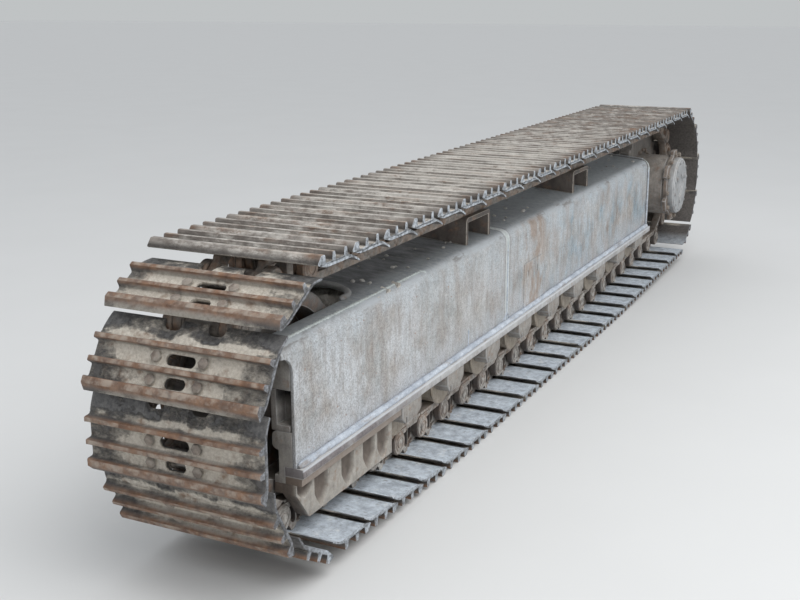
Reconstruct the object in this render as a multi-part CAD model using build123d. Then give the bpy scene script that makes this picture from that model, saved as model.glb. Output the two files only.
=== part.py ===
# Crawler track unit of a tracked jaw crusher, in millimetres.
# X runs along the track from the idler to the sprocket, Y towards the chassis, Z up.
import math
import os

from build123d import *

os.makedirs("parts", exist_ok=True)

# Chain: the pitch and the links in a run and round a wheel set the unit's length.
PITCH = 203.0
WHEEL_LINKS = 12
RUN_LINKS = 22
PIN_TO_SEAT = 62.0
PIN_TO_RAIL = 54.0
LINK_THICKNESS = 29.0
LINK_REACH = 34.0
LINK_NOSE = 12.0
RAIL_TAPER = 30.0
REAR_TAPER = 12.0
INNER_END_Y = 66.0
FRONT_JOINT = 48.0
REAR_JOINT = 36.0
BUSHING_SIDE = 46.0

# Shoes: a plate with three bars, a sloped front edge and a curved rear lip.
SHOE_WIDTH = 600.0
SHOE_PLATE = 14.0
BAR_HEIGHT = 40.0
SHOE_FRONT = 2.0
SHOE_NOSE = 50.0
NOSE_LIFT = 15.0
NOSE_SLOPE = 20.0
FRONT_BAR = 40.0
THIN_BAR = 20.0
MIDDLE_BAR_S = -43.0
REAR_BAR_S = -113.0
LIP_END_S = -197.0
LIP_DROP = 13.0
SEAT_REAR_S = -140.0

# Height of the wheels over the roller line, where the bottom run is flat, and clearances.
WHEEL_RAISE = 50.0
FLAT_FROM = 750.0
FLAT_TO = 3120.0
RUNNING_GAP = 0.3
SEAT_GAP = 0.05

# Bottom rollers, each resting on the chain, and the collars that hold them.
ROLLER_SPACING = 395.0
FIRST_ROLLER_X = 665.0
LAST_ROLLER_ROOM = 200.0
ROLLER_RADIUS = 88.0
ROLLER_FLANGE = 100.0
ROLLER_TREAD_OUT = 126.0
COLLAR_IN = 140.0
COLLAR_OUT = 202.0
COLLAR_LENGTH = 158.0
COLLAR_SIDE = 48.0
COLLAR_FOOT = 70.0
COLLAR_DROP = 22.0
NOTCH_WIDTH = 12.0
NOTCH_HEIGHT = 24.0
NOTCH_X = -46.0

# Side frame.
WALL_OUT = 180.0
FRAME_PLATE = 12.0
FRAME_BOTTOM = 330.0
RAIL_THICKNESS = 30.0
RAIL_OUT = 205.0
STRIP_THICKNESS = 26.0
STRIP_OUT = 199.0
STRIP_END = 578.0
ROOF_OUTER_Z = 740.0
ROOF_SLOPE = 5.0
BEND_RADIUS = 46.0
WALL_FRONT = -106.0
ROOF_FRONT = -168.0
WALL_CURVE = 62.0
FRAME_REAR = 4060.0
SLOT_HALF = 100.0
SLOT_END = 455.0
END_PLATE = 14.0
END_RIM = 6.0
RIB_PLATE = 12.0
RIB_CORNER = 44.0

# Idler and its slide.
IDLER_HALF = 92.0
IDLER_FLANGE_HALF = 45.0
IDLER_FLANGE_RISE = 18.0
IDLER_RIM = 52.0
IDLER_WEB_HALF = 14.0
IDLER_HUB = 78.0
HUB_TAPER = 20.0
RIM_TAPER = 10.0
FLANGE_TAPER = 8.0
IDLER_SHAFT = 32.0
BLOCK_IN = 96.0
BLOCK_OUT = 162.0
BLOCK_UP = 46.0
BLOCK_DOWN = 86.0
BLOCK_REAR = 106.0
RECESS_WIDTH = 46.0
RECESS_HEIGHT = 112.0
RECESS_DEPTH = 50.0
SHAFT_INSET = 10.0
SLIDE_REAR = 320.0
SLIDE_IN = 100.0
SLIDE_UPPER = 104.0
HEAD_IN = 96.0
HEAD_HEIGHT = 62.0
HEAD_ROUNDING = 20.0
WEB_IN = 118.0
FOOT_IN = 102.0
YOKE_ARM = 24.0
YOKE_HEIGHT = 76.0
YOKE_END = 560.0
YOKE_HEAD = 60.0
RECOIL_RADIUS = 92.0
RECOIL_ROD = 45.0
RECOIL_ROD_LENGTH = 110.0

# Front chain guides. A pocket is given by its middle, where it starts to taper, and its foot.
GUIDE_TO = 544.0
GUIDE_NOSE = 74.0
GUIDE_NOSE_Z = 241.0
GUIDE_NOSE_REAR = 0.0
GUIDE_IN = 129.0
GUIDE_OUT = 178.0
GUIDE_BOTTOM = 141.0
POCKETS = [
    (-57.0, 245.0, 214.0),
    (46.0, 203.0, 143.0),
    (220.0, 200.0, 143.0),
    (370.0, 200.0, 141.5),
    (475.0, 196.0, 141.5),
]
POCKET_RADIUS = 48.0
POCKET_OFFSET = 19.0

# Carrier skids, at their distance from the idler's axle.
SKID_CENTRES = [1422.0, 2800.0]
SKID_LENGTH = 255.0
SKID_HALF = 140.0
SKID_PLATE = 20.0
SKID_BEND = 24.0

# Final drive and travel motor.
SPROCKET_TEETH = 24
SPROCKET_HALF = 28.0
SEAT_RADIUS = 34.0
TOOTH_RISE = 6.0
SPROCKET_BORE = 188.0
DRUM_RADIUS = 188.0
DRUM_OUTER = 222.0
DRUM_INNER = 60.0
LUG_RING_RADIUS = 196.0
LUG_RING_THICKNESS = 26.0
LUG_REACH = 224.0
LUG_WIDTH = 84.0
LUG_ANGLES = [90.0, 210.0, 270.0, 330.0, 30.0, 150.0]
COVER_RADIUS = 177.0
COVER_OUTER = 290.0
COVER_EDGE = 10.0
COVER_BOSS = 70.0
DRUM_EDGE = 12.0
NECK_RADIUS = 150.0
DRIVE_FLANGE_RADIUS = 205.0
DRIVE_FLANGE = 22.0
MOTOR_RADIUS = 112.0
MOTOR_OUTER = 330.0
MOTOR_SHOULDER = 30.0
MOTOR_EDGE = 12.0
VALVE_LENGTH = 150.0
VALVE_WIDTH = 90.0
VALVE_HEIGHT = 110.0

# Stub beams to the chassis.
STUB_CENTRES = [1150.0, 3150.0]
STUB_LENGTH = 360.0
STUB_HEIGHT = 300.0
STUB_Z = 530.0
STUB_WALL = 16.0
FLANGE_FACE = 340.0
FLANGE_THICKNESS = 28.0
FLANGE_LENGTH = 500.0
FLANGE_HEIGHT = 400.0
HOLE_EDGE = 40.0
HOLE_RADIUS = 16.5

# Worked out from the sizes above.
STEP_ANGLE = 360.0 / WHEEL_LINKS
HALF_STEP = math.radians(STEP_ANGLE / 2)
PIN_RADIUS = PITCH / (2 * math.sin(HALF_STEP))
FLAT_RADIUS = PIN_RADIUS * math.cos(HALF_STEP)
WHEELBASE = RUN_LINKS * PITCH
FLAT_PIN_Z = BAR_HEIGHT + PIN_TO_SEAT
AXLE_Z = FLAT_PIN_Z + WHEEL_RAISE + FLAT_RADIUS
TOP_RAIL_Z = AXLE_Z + FLAT_RADIUS - PIN_TO_RAIL
TREAD_RADIUS = FLAT_RADIUS - PIN_TO_RAIL - RUNNING_GAP
WALL_IN = WALL_OUT - FRAME_PLATE
ROOF_TILT = math.tan(math.radians(ROOF_SLOPE))
ROOF_PLATE_Z = FRAME_PLATE / math.cos(math.radians(ROOF_SLOPE))
RAIL_BOTTOM = FRAME_BOTTOM - RAIL_THICKNESS
STRIP_BOTTOM = RAIL_BOTTOM - STRIP_THICKNESS
ROLLER_ROOM = FRAME_REAR - LAST_ROLLER_ROOM - FIRST_ROLLER_X
ROLLER_COUNT = int(ROLLER_ROOM / ROLLER_SPACING) + 1
RIB_ROLLERS = range(1, ROLLER_COUNT - 1, 2)
SLIDE_FRONT = WALL_FRONT
SLIDE_TOP = AXLE_Z - BLOCK_DOWN - RUNNING_GAP

# The chain's middle plane and the idler's axle, so that the unit's box is centred.
CHAIN_Y = (SHOE_WIDTH / 2 - FLANGE_FACE) / 2
IDLER_X = -WHEELBASE / 2
UNIT = Location((IDLER_X, CHAIN_Y, 0))


def save(name, *solids):
    """Write one sub-part, moved from the idler's axle to the unit's own origin."""
    moved = [solid.moved(UNIT) for solid in solids]
    shape = moved[0] if len(moved) == 1 else Compound(children=moved)
    export_step(shape, "parts/" + name + ".step")


def block(x_range, y_range, z_range):
    """A plain block between two corners."""
    spans = [high - low for low, high in (x_range, y_range, z_range)]
    middle = [(low + high) / 2 for low, high in (x_range, y_range, z_range)]
    return Pos(*middle) * Box(*spans)


def turned(profile, x, z):
    """Turn a profile of (radius, y) points round an axle across the track."""
    face = make_face(Polyline(*profile, close=True))
    return Pos(x, 0, z) * revolve(face, Axis.Y)


def rod(radius, y_from, y_to, x, z):
    """A round bar across the track."""
    return turned([(0, y_from), (radius, y_from), (radius, y_to), (0, y_to)], x, z)


def upright(points, y_from, y_to):
    """A plate across Y with its outline given as (x, z) points."""
    face = Plane.XZ * make_face(Polyline(*points, close=True))
    return Pos(0, y_to, 0) * extrude(face, y_to - y_from)


def crosswise(points, x_from, x_to):
    """A plate across X with its outline given as (y, z) points."""
    face = Plane.YZ * make_face(Polyline(*points, close=True))
    return Pos(x_from, 0, 0) * extrude(face, x_to - x_from)


def roof_z(y):
    """Height of the frame's sloping roof over the ground, on its outside."""
    return ROOF_OUTER_Z + (y + WALL_OUT) * ROOF_TILT


def roller_x(number):
    """Place of a bottom roller, counted from 0 at the idler."""
    return FIRST_ROLLER_X + number * ROLLER_SPACING


def bottom_pin_z(x):
    """Height of the pins in the bottom run, which rises to both wheels."""
    rise = 0.0
    if x < FLAT_FROM:
        rise = (FLAT_FROM - x) / FLAT_FROM
    if x > FLAT_TO:
        rise = (x - FLAT_TO) / (WHEELBASE - FLAT_TO)
    return FLAT_PIN_Z + WHEEL_RAISE * min(rise, 1.0)


def chain_pins():
    """All pins in the order of travel: top run, idler, bottom run, sprocket."""
    steps = range(RUN_LINKS)
    top = [((step + 0.5) * PITCH, AXLE_Z + FLAT_RADIUS) for step in reversed(steps)]
    bottom = [((step + 0.5) * PITCH, bottom_pin_z((step + 0.5) * PITCH)) for step in steps]
    wheels = []
    for centre_x, quarter_turns in ((0.0, 1), (WHEELBASE, 3)):
        start = quarter_turns * math.pi / 2
        turn = [start + HALF_STEP * (2 * step + 1) for step in range(WHEEL_LINKS // 2)]
        wheels.append([
            (centre_x + PIN_RADIUS * math.cos(angle), AXLE_Z + PIN_RADIUS * math.sin(angle))
            for angle in turn
        ])
    return top + wheels[0] + bottom + wheels[1]


def link_places():
    """A plane on each link: origin on its leading pin, x ahead, z away from the wheels."""
    pins = chain_pins()
    planes = []
    for rear, lead in zip(pins, pins[1:] + pins[:1]):
        length = math.dist(rear, lead)
        ahead_x = (lead[0] - rear[0]) / length
        ahead_z = (lead[1] - rear[1]) / length
        planes.append(
            Plane(origin=(lead[0], 0, lead[1]), x_dir=(ahead_x, 0, ahead_z), z_dir=(ahead_z, 0, -ahead_x))
        )
    return planes


def roller_z(x):
    """Height of a roller's axle, resting on the link between the two pins beside it."""
    before = math.floor(x / PITCH - 0.5) + 0.5
    low = bottom_pin_z(before * PITCH)
    high = bottom_pin_z((before + 1) * PITCH)
    line_z = low + (high - low) * (x / PITCH - before)
    reach = math.hypot(PITCH, high - low) / PITCH
    return line_z + (PIN_TO_RAIL + ROLLER_RADIUS + RUNNING_GAP) * reach


def shoe():
    """One shoe, its seat on top of the side links."""
    thin = THIN_BAR / 2
    points = [
        (SHOE_FRONT, 0),
        (SHOE_NOSE, NOSE_LIFT),
        (SHOE_NOSE - NOSE_SLOPE, BAR_HEIGHT),
        (SHOE_NOSE - FRONT_BAR, SHOE_PLATE),
        (MIDDLE_BAR_S + thin, SHOE_PLATE),
        (MIDDLE_BAR_S, BAR_HEIGHT),
        (MIDDLE_BAR_S - thin, SHOE_PLATE),
        (REAR_BAR_S + thin, SHOE_PLATE),
        (REAR_BAR_S, BAR_HEIGHT),
        (REAR_BAR_S - thin, SHOE_PLATE),
        (LIP_END_S, -LIP_DROP),
        (SEAT_REAR_S, 0),
    ]
    outline = [(s, PIN_TO_SEAT + height) for s, height in points]
    return upright(outline, -SHOE_WIDTH / 2, SHOE_WIDTH / 2)


def side_link(side):
    """One offset side link. Its rear end lies outside the next link's front end."""
    rear = -PITCH - LINK_REACH
    seat = PIN_TO_SEAT - SEAT_GAP
    elevation = [
        (rear + REAR_TAPER, -PIN_TO_RAIL),
        (LINK_REACH - RAIL_TAPER, -PIN_TO_RAIL),
        (LINK_REACH, -LINK_NOSE),
        (SHOE_FRONT - LINK_REACH / 4, seat),
        (SEAT_REAR_S, seat),
    ]
    front_out = INNER_END_Y + LINK_THICKNESS
    rear_in = front_out + RUNNING_GAP
    plan = [
        (rear, rear_in),
        (-PITCH + REAR_JOINT, rear_in),
        (LINK_REACH, INNER_END_Y),
        (LINK_REACH, front_out),
        (-FRONT_JOINT, front_out),
        (rear, rear_in + LINK_THICKNESS),
    ]
    face = make_face(Polyline(*[(s, side * y) for s, y in plan], close=True))
    column = extrude(face, PIN_TO_SEAT, both=True)
    return column & upright(elevation, -SHOE_WIDTH / 2, SHOE_WIDTH / 2)


def bushing():
    """One pin with its bushing, up to the slanted inner faces of the side links."""
    slant = (LINK_THICKNESS + RUNNING_GAP) / (PITCH + LINK_REACH - REAR_JOINT)
    half = INNER_END_Y + slant * (LINK_REACH - BUSHING_SIDE / 2) - RUNNING_GAP
    return Box(BUSHING_SIDE, 2 * half, BUSHING_SIDE)


def track_chain():
    """Shoes, links and pins all round the loop."""
    planes = link_places()
    save("track_shoes", *[plane * shoe() for plane in planes])
    save("track_links", *[plane * side_link(side) for plane in planes for side in (-1, 1)])
    save("track_pins", *[plane * bushing() for plane in planes])


def outer_plate():
    """Wall and roof folded from one plate, with the idler's slot and a curved front edge."""
    profile = make_face(
        Polyline(
            (-WALL_OUT, FRAME_BOTTOM),
            (-WALL_OUT, ROOF_OUTER_Z),
            (WALL_IN, roof_z(WALL_IN)),
            (WALL_IN, roof_z(WALL_IN) - ROOF_PLATE_Z),
            (-WALL_IN, roof_z(-WALL_IN) - ROOF_PLATE_Z),
            (-WALL_IN, FRAME_BOTTOM),
            close=True,
        )
    )
    outside = profile.vertices().sort_by_distance((-WALL_OUT, ROOF_OUTER_Z))[0]
    profile = fillet(outside, BEND_RADIUS)
    inside = profile.vertices().sort_by_distance((-WALL_IN, roof_z(-WALL_IN) - ROOF_PLATE_Z))[0]
    profile = fillet(inside, BEND_RADIUS - FRAME_PLATE)
    rear = FRAME_REAR - END_PLATE
    folded = Pos(ROOF_FRONT, 0, 0) * extrude(Plane.YZ * profile, rear - ROOF_FRONT)
    round_x = SLOT_END - SLOT_HALF
    slot = block((ROOF_FRONT - 1, round_x), (-SLOT_HALF, SLOT_HALF), (FRAME_BOTTOM, 2 * ROOF_OUTER_Z))
    slot_end = Pos(round_x, 0, ROOF_OUTER_Z) * Cylinder(SLOT_HALF, ROOF_OUTER_Z)
    return folded - front_cut(-WALL_OUT - 1, -WALL_IN + 1) - slot - slot_end


def front_cut(y_from, y_to):
    """What is cut off a wall's front edge: a straight step and a curve up to the roof."""
    curve_z = ROOF_OUTER_Z - BEND_RADIUS - WALL_CURVE
    step = block((ROOF_FRONT - 1, WALL_FRONT), (y_from, y_to), (FRAME_BOTTOM - 1, curve_z))
    return step + rod(WALL_CURVE, y_from, y_to, WALL_FRONT - WALL_CURVE, curve_z)


def inner_plate():
    """Inner wall, which runs back behind the sprocket and carries the final drive."""
    top = roof_z(WALL_IN)
    points = [
        (ROOF_FRONT, FRAME_BOTTOM),
        (WHEELBASE, FRAME_BOTTOM),
        (WHEELBASE, top),
        (ROOF_FRONT, top),
    ]
    wall = upright(points, WALL_IN, WALL_OUT)
    round_end = rod(top - AXLE_Z, WALL_IN, WALL_OUT, WHEELBASE, AXLE_Z)
    bore = rod(NECK_RADIUS, WALL_IN - 1, WALL_OUT + 1, WHEELBASE, AXLE_Z)
    return wall + round_end - bore - front_cut(WALL_IN - 1, WALL_OUT + 1)


def side_frame():
    """The welded side frame: two walls, bottom rails, rear end plate and ribs."""
    save("frame_outer_plate", outer_plate())
    save("frame_inner_plate", inner_plate())
    for name, side in (("outer", -1), ("inner", 1)):
        edges = sorted((side * COLLAR_IN, side * RAIL_OUT))
        rail = block((WALL_FRONT, FRAME_REAR), edges, (RAIL_BOTTOM, FRAME_BOTTOM))
        edges = sorted((side * COLLAR_IN, side * STRIP_OUT))
        rail += block((WALL_FRONT, STRIP_END), edges, (STRIP_BOTTOM, RAIL_BOTTOM))
        save("frame_bottom_rail_" + name, rail)
    rim = WALL_OUT + END_RIM
    end_points = [
        (-rim, FRAME_BOTTOM),
        (-rim, ROOF_OUTER_Z - BEND_RADIUS),
        (-rim + BEND_RADIUS, roof_z(-rim + BEND_RADIUS) + END_RIM),
        (WALL_IN, roof_z(WALL_IN) + END_RIM),
        (WALL_IN, FRAME_BOTTOM),
    ]
    save("frame_end_plate", crosswise(end_points, FRAME_REAR - END_PLATE, FRAME_REAR))
    low_z = FRAME_BOTTOM
    rib_points = [
        (-WALL_IN, low_z),
        (-WALL_IN, roof_z(-WALL_IN) - ROOF_PLATE_Z - RIB_CORNER),
        (-WALL_IN + RIB_CORNER, roof_z(-WALL_IN + RIB_CORNER) - ROOF_PLATE_Z),
        (WALL_IN, roof_z(WALL_IN) - ROOF_PLATE_Z),
        (WALL_IN, low_z),
    ]
    ribs = [
        crosswise(rib_points, rib_x(number), rib_x(number) + RIB_PLATE) for number in RIB_ROLLERS
    ]
    save("frame_ribs", *ribs)


def rib_x(number):
    """Front face of the rib behind a roller, midway to the next one."""
    return roller_x(number) + (ROLLER_SPACING - RIB_PLATE) / 2


def lower_slide(side):
    """Rail for the idler's block: rounded head, web down to the frame's bottom, and foot."""
    points = [
        (FOOT_IN, STRIP_BOTTOM),
        (COLLAR_IN, STRIP_BOTTOM),
        (COLLAR_IN, FRAME_BOTTOM),
        (WALL_IN, FRAME_BOTTOM),
        (WALL_IN, SLIDE_TOP),
        (HEAD_IN, SLIDE_TOP),
        (HEAD_IN, SLIDE_TOP - HEAD_HEIGHT),
        (WEB_IN, SLIDE_TOP - HEAD_HEIGHT),
        (WEB_IN, RAIL_BOTTOM),
        (FOOT_IN, RAIL_BOTTOM),
    ]
    face = make_face(Polyline(*[(side * y, z) for y, z in points], close=True))
    for z in (SLIDE_TOP, SLIDE_TOP - HEAD_HEIGHT):
        corner = face.vertices().sort_by_distance((side * HEAD_IN, z))[0]
        face = fillet(corner, HEAD_ROUNDING)
    return Pos(SLIDE_FRONT, 0, 0) * extrude(Plane.YZ * face, SLIDE_REAR - SLIDE_FRONT)


def idler_group():
    """Idler with its shaft, bearing blocks, slides, yoke and recoil cylinder."""
    flange = TREAD_RADIUS + IDLER_FLANGE_RISE
    rim = TREAD_RADIUS - IDLER_RIM
    hub_half = BLOCK_IN - RUNNING_GAP
    half = [
        (IDLER_SHAFT, hub_half),
        (IDLER_HUB, hub_half),
        (IDLER_HUB + HUB_TAPER, IDLER_WEB_HALF),
        (rim - RIM_TAPER, IDLER_WEB_HALF),
        (rim, IDLER_HALF),
        (TREAD_RADIUS, IDLER_HALF),
        (TREAD_RADIUS, IDLER_FLANGE_HALF),
        (flange, IDLER_FLANGE_HALF - FLANGE_TAPER),
    ]
    outline = half + [(radius, -y) for radius, y in reversed(half)]
    save("idler_wheel", turned(outline, 0, AXLE_Z))
    shaft_end = BLOCK_OUT - SHAFT_INSET
    save("idler_shaft", rod(IDLER_SHAFT, -shaft_end, shaft_end, 0, AXLE_Z))

    block_z = (AXLE_Z - BLOCK_DOWN, AXLE_Z + BLOCK_UP)
    upper_low = AXLE_Z + BLOCK_UP + RUNNING_GAP
    for name, side in (("outer", -1), ("inner", 1)):
        across = sorted((side * BLOCK_IN, side * BLOCK_OUT))
        bearing = block((SLIDE_FRONT, BLOCK_REAR), across, block_z)
        recess_x = (SLIDE_FRONT - 1, SLIDE_FRONT + RECESS_DEPTH)
        recess_y = sorted((side * (BLOCK_OUT - RECESS_WIDTH), side * (BLOCK_OUT + 1)))
        bearing -= block(recess_x, recess_y, (block_z[1] - RECESS_HEIGHT, block_z[1] + 1))
        bearing -= rod(IDLER_SHAFT, across[0] - 1, across[1] + 1, 0, AXLE_Z)
        save("idler_block_" + name, bearing)
        save("idler_slide_lower_" + name, lower_slide(side))
        across = sorted((side * SLIDE_IN, side * WALL_IN))
        upper = block((SLIDE_FRONT, SLIDE_REAR), across, (upper_low, upper_low + SLIDE_UPPER))
        save("idler_slide_upper_" + name, upper)
    arm_out = BLOCK_IN + YOKE_ARM
    arms = [
        block((BLOCK_REAR, YOKE_END - YOKE_HEAD), sorted((side * BLOCK_IN, side * arm_out)),
              (AXLE_Z - YOKE_HEIGHT / 2, AXLE_Z + YOKE_HEIGHT / 2))
        for side in (-1, 1)
    ]
    head = block((YOKE_END - YOKE_HEAD, YOKE_END), (-arm_out, arm_out),
                 (AXLE_Z - YOKE_HEIGHT / 2, AXLE_Z + YOKE_HEIGHT / 2))
    save("idler_yoke", head + arms[0] + arms[1])
    rod_end = YOKE_END + RECOIL_ROD_LENGTH
    seat_x = rib_x(RIB_ROLLERS[0])
    along = Rot(0, 90, 0)
    rod_length = RECOIL_ROD_LENGTH
    recoil = Pos(YOKE_END + rod_length / 2, 0, AXLE_Z) * along * Cylinder(RECOIL_ROD, rod_length)
    recoil += Pos((rod_end + seat_x) / 2, 0, AXLE_Z) * along * Cylinder(RECOIL_RADIUS, seat_x - rod_end)
    save("recoil_cylinder", recoil)


def track_roller(x):
    """A roller with a tapered flange at each end."""
    end = COLLAR_IN - RUNNING_GAP
    half = [
        (0, end),
        (ROLLER_FLANGE, end),
        (ROLLER_RADIUS, ROLLER_TREAD_OUT),
    ]
    outline = half + [(radius, -y) for radius, y in reversed(half)]
    return turned(outline, x, roller_z(x))


def roller_collar(x, side):
    """The bearing collar that holds a roller's shaft under the bottom rail."""
    low = roller_z(x) - COLLAR_DROP
    half_length = COLLAR_LENGTH / 2
    foot = COLLAR_FOOT / 2
    notch = (NOTCH_X - NOTCH_WIDTH / 2, NOTCH_X + NOTCH_WIDTH / 2)
    points = [
        (-half_length, RAIL_BOTTOM),
        (-half_length, RAIL_BOTTOM - COLLAR_SIDE),
        (notch[0], low),
        (notch[0], low + NOTCH_HEIGHT),
        (notch[1], low + NOTCH_HEIGHT),
        (notch[1], low),
        (foot, low),
        (half_length, RAIL_BOTTOM - COLLAR_SIDE),
        (half_length, RAIL_BOTTOM),
    ]
    y_from, y_to = sorted((side * COLLAR_IN, side * COLLAR_OUT))
    return Pos(x, 0, 0) * upright(points, y_from, y_to)


def bottom_rollers():
    """Rollers under the frame, each with two collars bolted to the bottom rails."""
    places = [roller_x(number) for number in range(ROLLER_COUNT)]
    save("track_rollers", *[track_roller(x) for x in places])
    save("roller_collars_outer", *[roller_collar(x, -1) for x in places])
    save("roller_collars_inner", *[roller_collar(x, 1) for x in places])


def chain_guides():
    """Thick guides under the front of the bottom rails, with scooped pockets outside."""
    points = [
        (WALL_FRONT, STRIP_BOTTOM),
        (WALL_FRONT, GUIDE_NOSE_Z),
        (WALL_FRONT + GUIDE_NOSE, GUIDE_BOTTOM),
        (GUIDE_TO, GUIDE_BOTTOM),
        (GUIDE_TO, STRIP_BOTTOM),
    ]
    taper = POCKET_RADIUS - POCKET_OFFSET
    for name, side in (("outer", -1), ("inner", 1)):
        guide = upright(points, *sorted((side * GUIDE_IN, side * GUIDE_OUT)))
        across = sorted((side * FOOT_IN, side * GUIDE_IN))
        guide += block((WALL_FRONT, GUIDE_NOSE_REAR), across, (GUIDE_NOSE_Z, STRIP_BOTTOM))
        for x, turn_z, low_z in POCKETS:
            y = side * (GUIDE_OUT + POCKET_OFFSET)
            straight = STRIP_BOTTOM + 1 - turn_z
            guide -= Pos(x, y, turn_z + straight / 2) * Cylinder(POCKET_RADIUS, straight)
            scoop = Cone(POCKET_RADIUS - taper, POCKET_RADIUS, turn_z - low_z)
            guide -= Pos(x, y, (turn_z + low_z) / 2) * scoop
        save("chain_guide_" + name, guide)


def carrier_skids():
    """Folded skids on the roof, which carry the top run."""
    half = SKID_LENGTH / 2
    top = TOP_RAIL_Z - RUNNING_GAP
    for number, centre in enumerate(SKID_CENTRES, 1):
        outer = block((centre - half, centre + half), (-SKID_HALF, SKID_HALF), (ROOF_OUTER_Z, top))
        outer = fillet(outer.edges().filter_by(Axis.Y).group_by(Axis.Z)[-1], SKID_BEND)
        inner = block(
            (centre - half + SKID_PLATE, centre + half - SKID_PLATE),
            (-SKID_HALF - 1, SKID_HALF + 1),
            (ROOF_OUTER_Z - 1, top - SKID_PLATE),
        )
        under_roof = [
            (-SKID_HALF - 1, ROOF_OUTER_Z - 1),
            (-SKID_HALF - 1, roof_z(-SKID_HALF - 1)),
            (SKID_HALF + 1, roof_z(SKID_HALF + 1)),
            (SKID_HALF + 1, ROOF_OUTER_Z - 1),
        ]
        skid = outer - inner - crosswise(under_roof, centre - half - 1, centre + half + 1)
        save("carrier_skid_" + str(number), skid)


def final_drive():
    """Sprocket on its drum, with the lug ring and cover outside and the motor inside."""
    sprocket = rod(PIN_RADIUS + TOOTH_RISE, -SPROCKET_HALF, SPROCKET_HALF, WHEELBASE, AXLE_Z)
    sprocket -= rod(SPROCKET_BORE, -SPROCKET_HALF - 1, SPROCKET_HALF + 1, WHEELBASE, AXLE_Z)
    for tooth in range(SPROCKET_TEETH):
        angle = HALF_STEP + 2 * math.pi * tooth / SPROCKET_TEETH
        x = WHEELBASE + PIN_RADIUS * math.cos(angle)
        z = AXLE_Z + PIN_RADIUS * math.sin(angle)
        sprocket -= rod(SEAT_RADIUS, -SPROCKET_HALF - 1, SPROCKET_HALF + 1, x, z)
    save("sprocket", sprocket)

    drum = [
        (0, -DRUM_OUTER),
        (DRUM_RADIUS - DRUM_EDGE, -DRUM_OUTER),
        (DRUM_RADIUS, -DRUM_OUTER + DRUM_EDGE),
        (DRUM_RADIUS, DRUM_INNER),
        (0, DRUM_INNER),
    ]
    save("final_drive_drum", turned(drum, WHEELBASE, AXLE_Z))
    ring_out = -DRUM_OUTER - LUG_RING_THICKNESS
    ring = rod(LUG_RING_RADIUS, ring_out, -DRUM_OUTER, WHEELBASE, AXLE_Z)
    for angle in LUG_ANGLES:
        lug = block((0, LUG_REACH), (ring_out, -DRUM_OUTER), (-LUG_WIDTH / 2, LUG_WIDTH / 2))
        ring += Pos(WHEELBASE, 0, AXLE_Z) * Rot(0, angle, 0) * lug
    save("final_drive_lug_ring", ring)
    cover = [
        (0, -COVER_OUTER + COVER_EDGE),
        (COVER_BOSS, -COVER_OUTER + COVER_EDGE),
        (COVER_BOSS, -COVER_OUTER),
        (COVER_RADIUS - COVER_EDGE, -COVER_OUTER),
        (COVER_RADIUS, -COVER_OUTER + COVER_EDGE),
        (COVER_RADIUS, ring_out),
        (0, ring_out),
    ]
    save("final_drive_cover", turned(cover, WHEELBASE, AXLE_Z))
    neck_end = WALL_OUT + DRIVE_FLANGE
    neck = [
        (0, DRUM_INNER),
        (NECK_RADIUS, DRUM_INNER),
        (NECK_RADIUS, WALL_OUT),
        (DRIVE_FLANGE_RADIUS, WALL_OUT),
        (DRIVE_FLANGE_RADIUS, neck_end),
        (0, neck_end),
    ]
    save("gearbox_neck", turned(neck, WHEELBASE, AXLE_Z))
    motor = [
        (0, neck_end),
        (MOTOR_RADIUS + MOTOR_SHOULDER, neck_end),
        (MOTOR_RADIUS, neck_end + MOTOR_SHOULDER),
        (MOTOR_RADIUS, MOTOR_OUTER - MOTOR_EDGE),
        (MOTOR_RADIUS - MOTOR_EDGE, MOTOR_OUTER),
        (0, MOTOR_OUTER),
    ]
    save("travel_motor", turned(motor, WHEELBASE, AXLE_Z))
    valve = block(
        (WHEELBASE - VALVE_LENGTH / 2, WHEELBASE + VALVE_LENGTH / 2),
        (MOTOR_OUTER - VALVE_WIDTH, MOTOR_OUTER),
        (AXLE_Z + MOTOR_RADIUS, AXLE_Z + MOTOR_RADIUS + VALVE_HEIGHT),
    )
    save("motor_valve_block", valve)


def chassis_beams():
    """Box stubs with bolted flanges, which carry the unit on the chassis."""
    flange_in = FLANGE_FACE - FLANGE_THICKNESS
    for name, centre in zip(("front", "rear"), STUB_CENTRES):
        x_range = (centre - STUB_LENGTH / 2, centre + STUB_LENGTH / 2)
        z_range = (STUB_Z - STUB_HEIGHT / 2, STUB_Z + STUB_HEIGHT / 2)
        stub = block(x_range, (WALL_OUT, flange_in), z_range)
        stub -= block(
            (x_range[0] + STUB_WALL, x_range[1] - STUB_WALL),
            (WALL_OUT - 1, flange_in + 1),
            (z_range[0] + STUB_WALL, z_range[1] - STUB_WALL),
        )
        save("chassis_stub_" + name, stub)
        flange = block(
            (centre - FLANGE_LENGTH / 2, centre + FLANGE_LENGTH / 2),
            (flange_in, FLANGE_FACE),
            (STUB_Z - FLANGE_HEIGHT / 2, STUB_Z + FLANGE_HEIGHT / 2),
        )
        for side_x in (-1, 1):
            for side_z in (-1, 1):
                x = centre + side_x * (FLANGE_LENGTH / 2 - HOLE_EDGE)
                z = STUB_Z + side_z * (FLANGE_HEIGHT / 2 - HOLE_EDGE)
                flange -= rod(HOLE_RADIUS, flange_in - 1, FLANGE_FACE + 1, x, z)
        save("chassis_flange_" + name, flange)


track_chain()
side_frame()
idler_group()
bottom_rollers()
chain_guides()
carrier_skids()
final_drive()
chassis_beams()
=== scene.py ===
"""Crawler track unit of a tracked jaw crusher, standing on its bottom shoes.

Metres. X runs along the track from the idler to the sprocket, Y towards the chassis, Z up.
"""

import math
import random

import bmesh
import bpy
from mathutils import Matrix, Vector, noise


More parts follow.
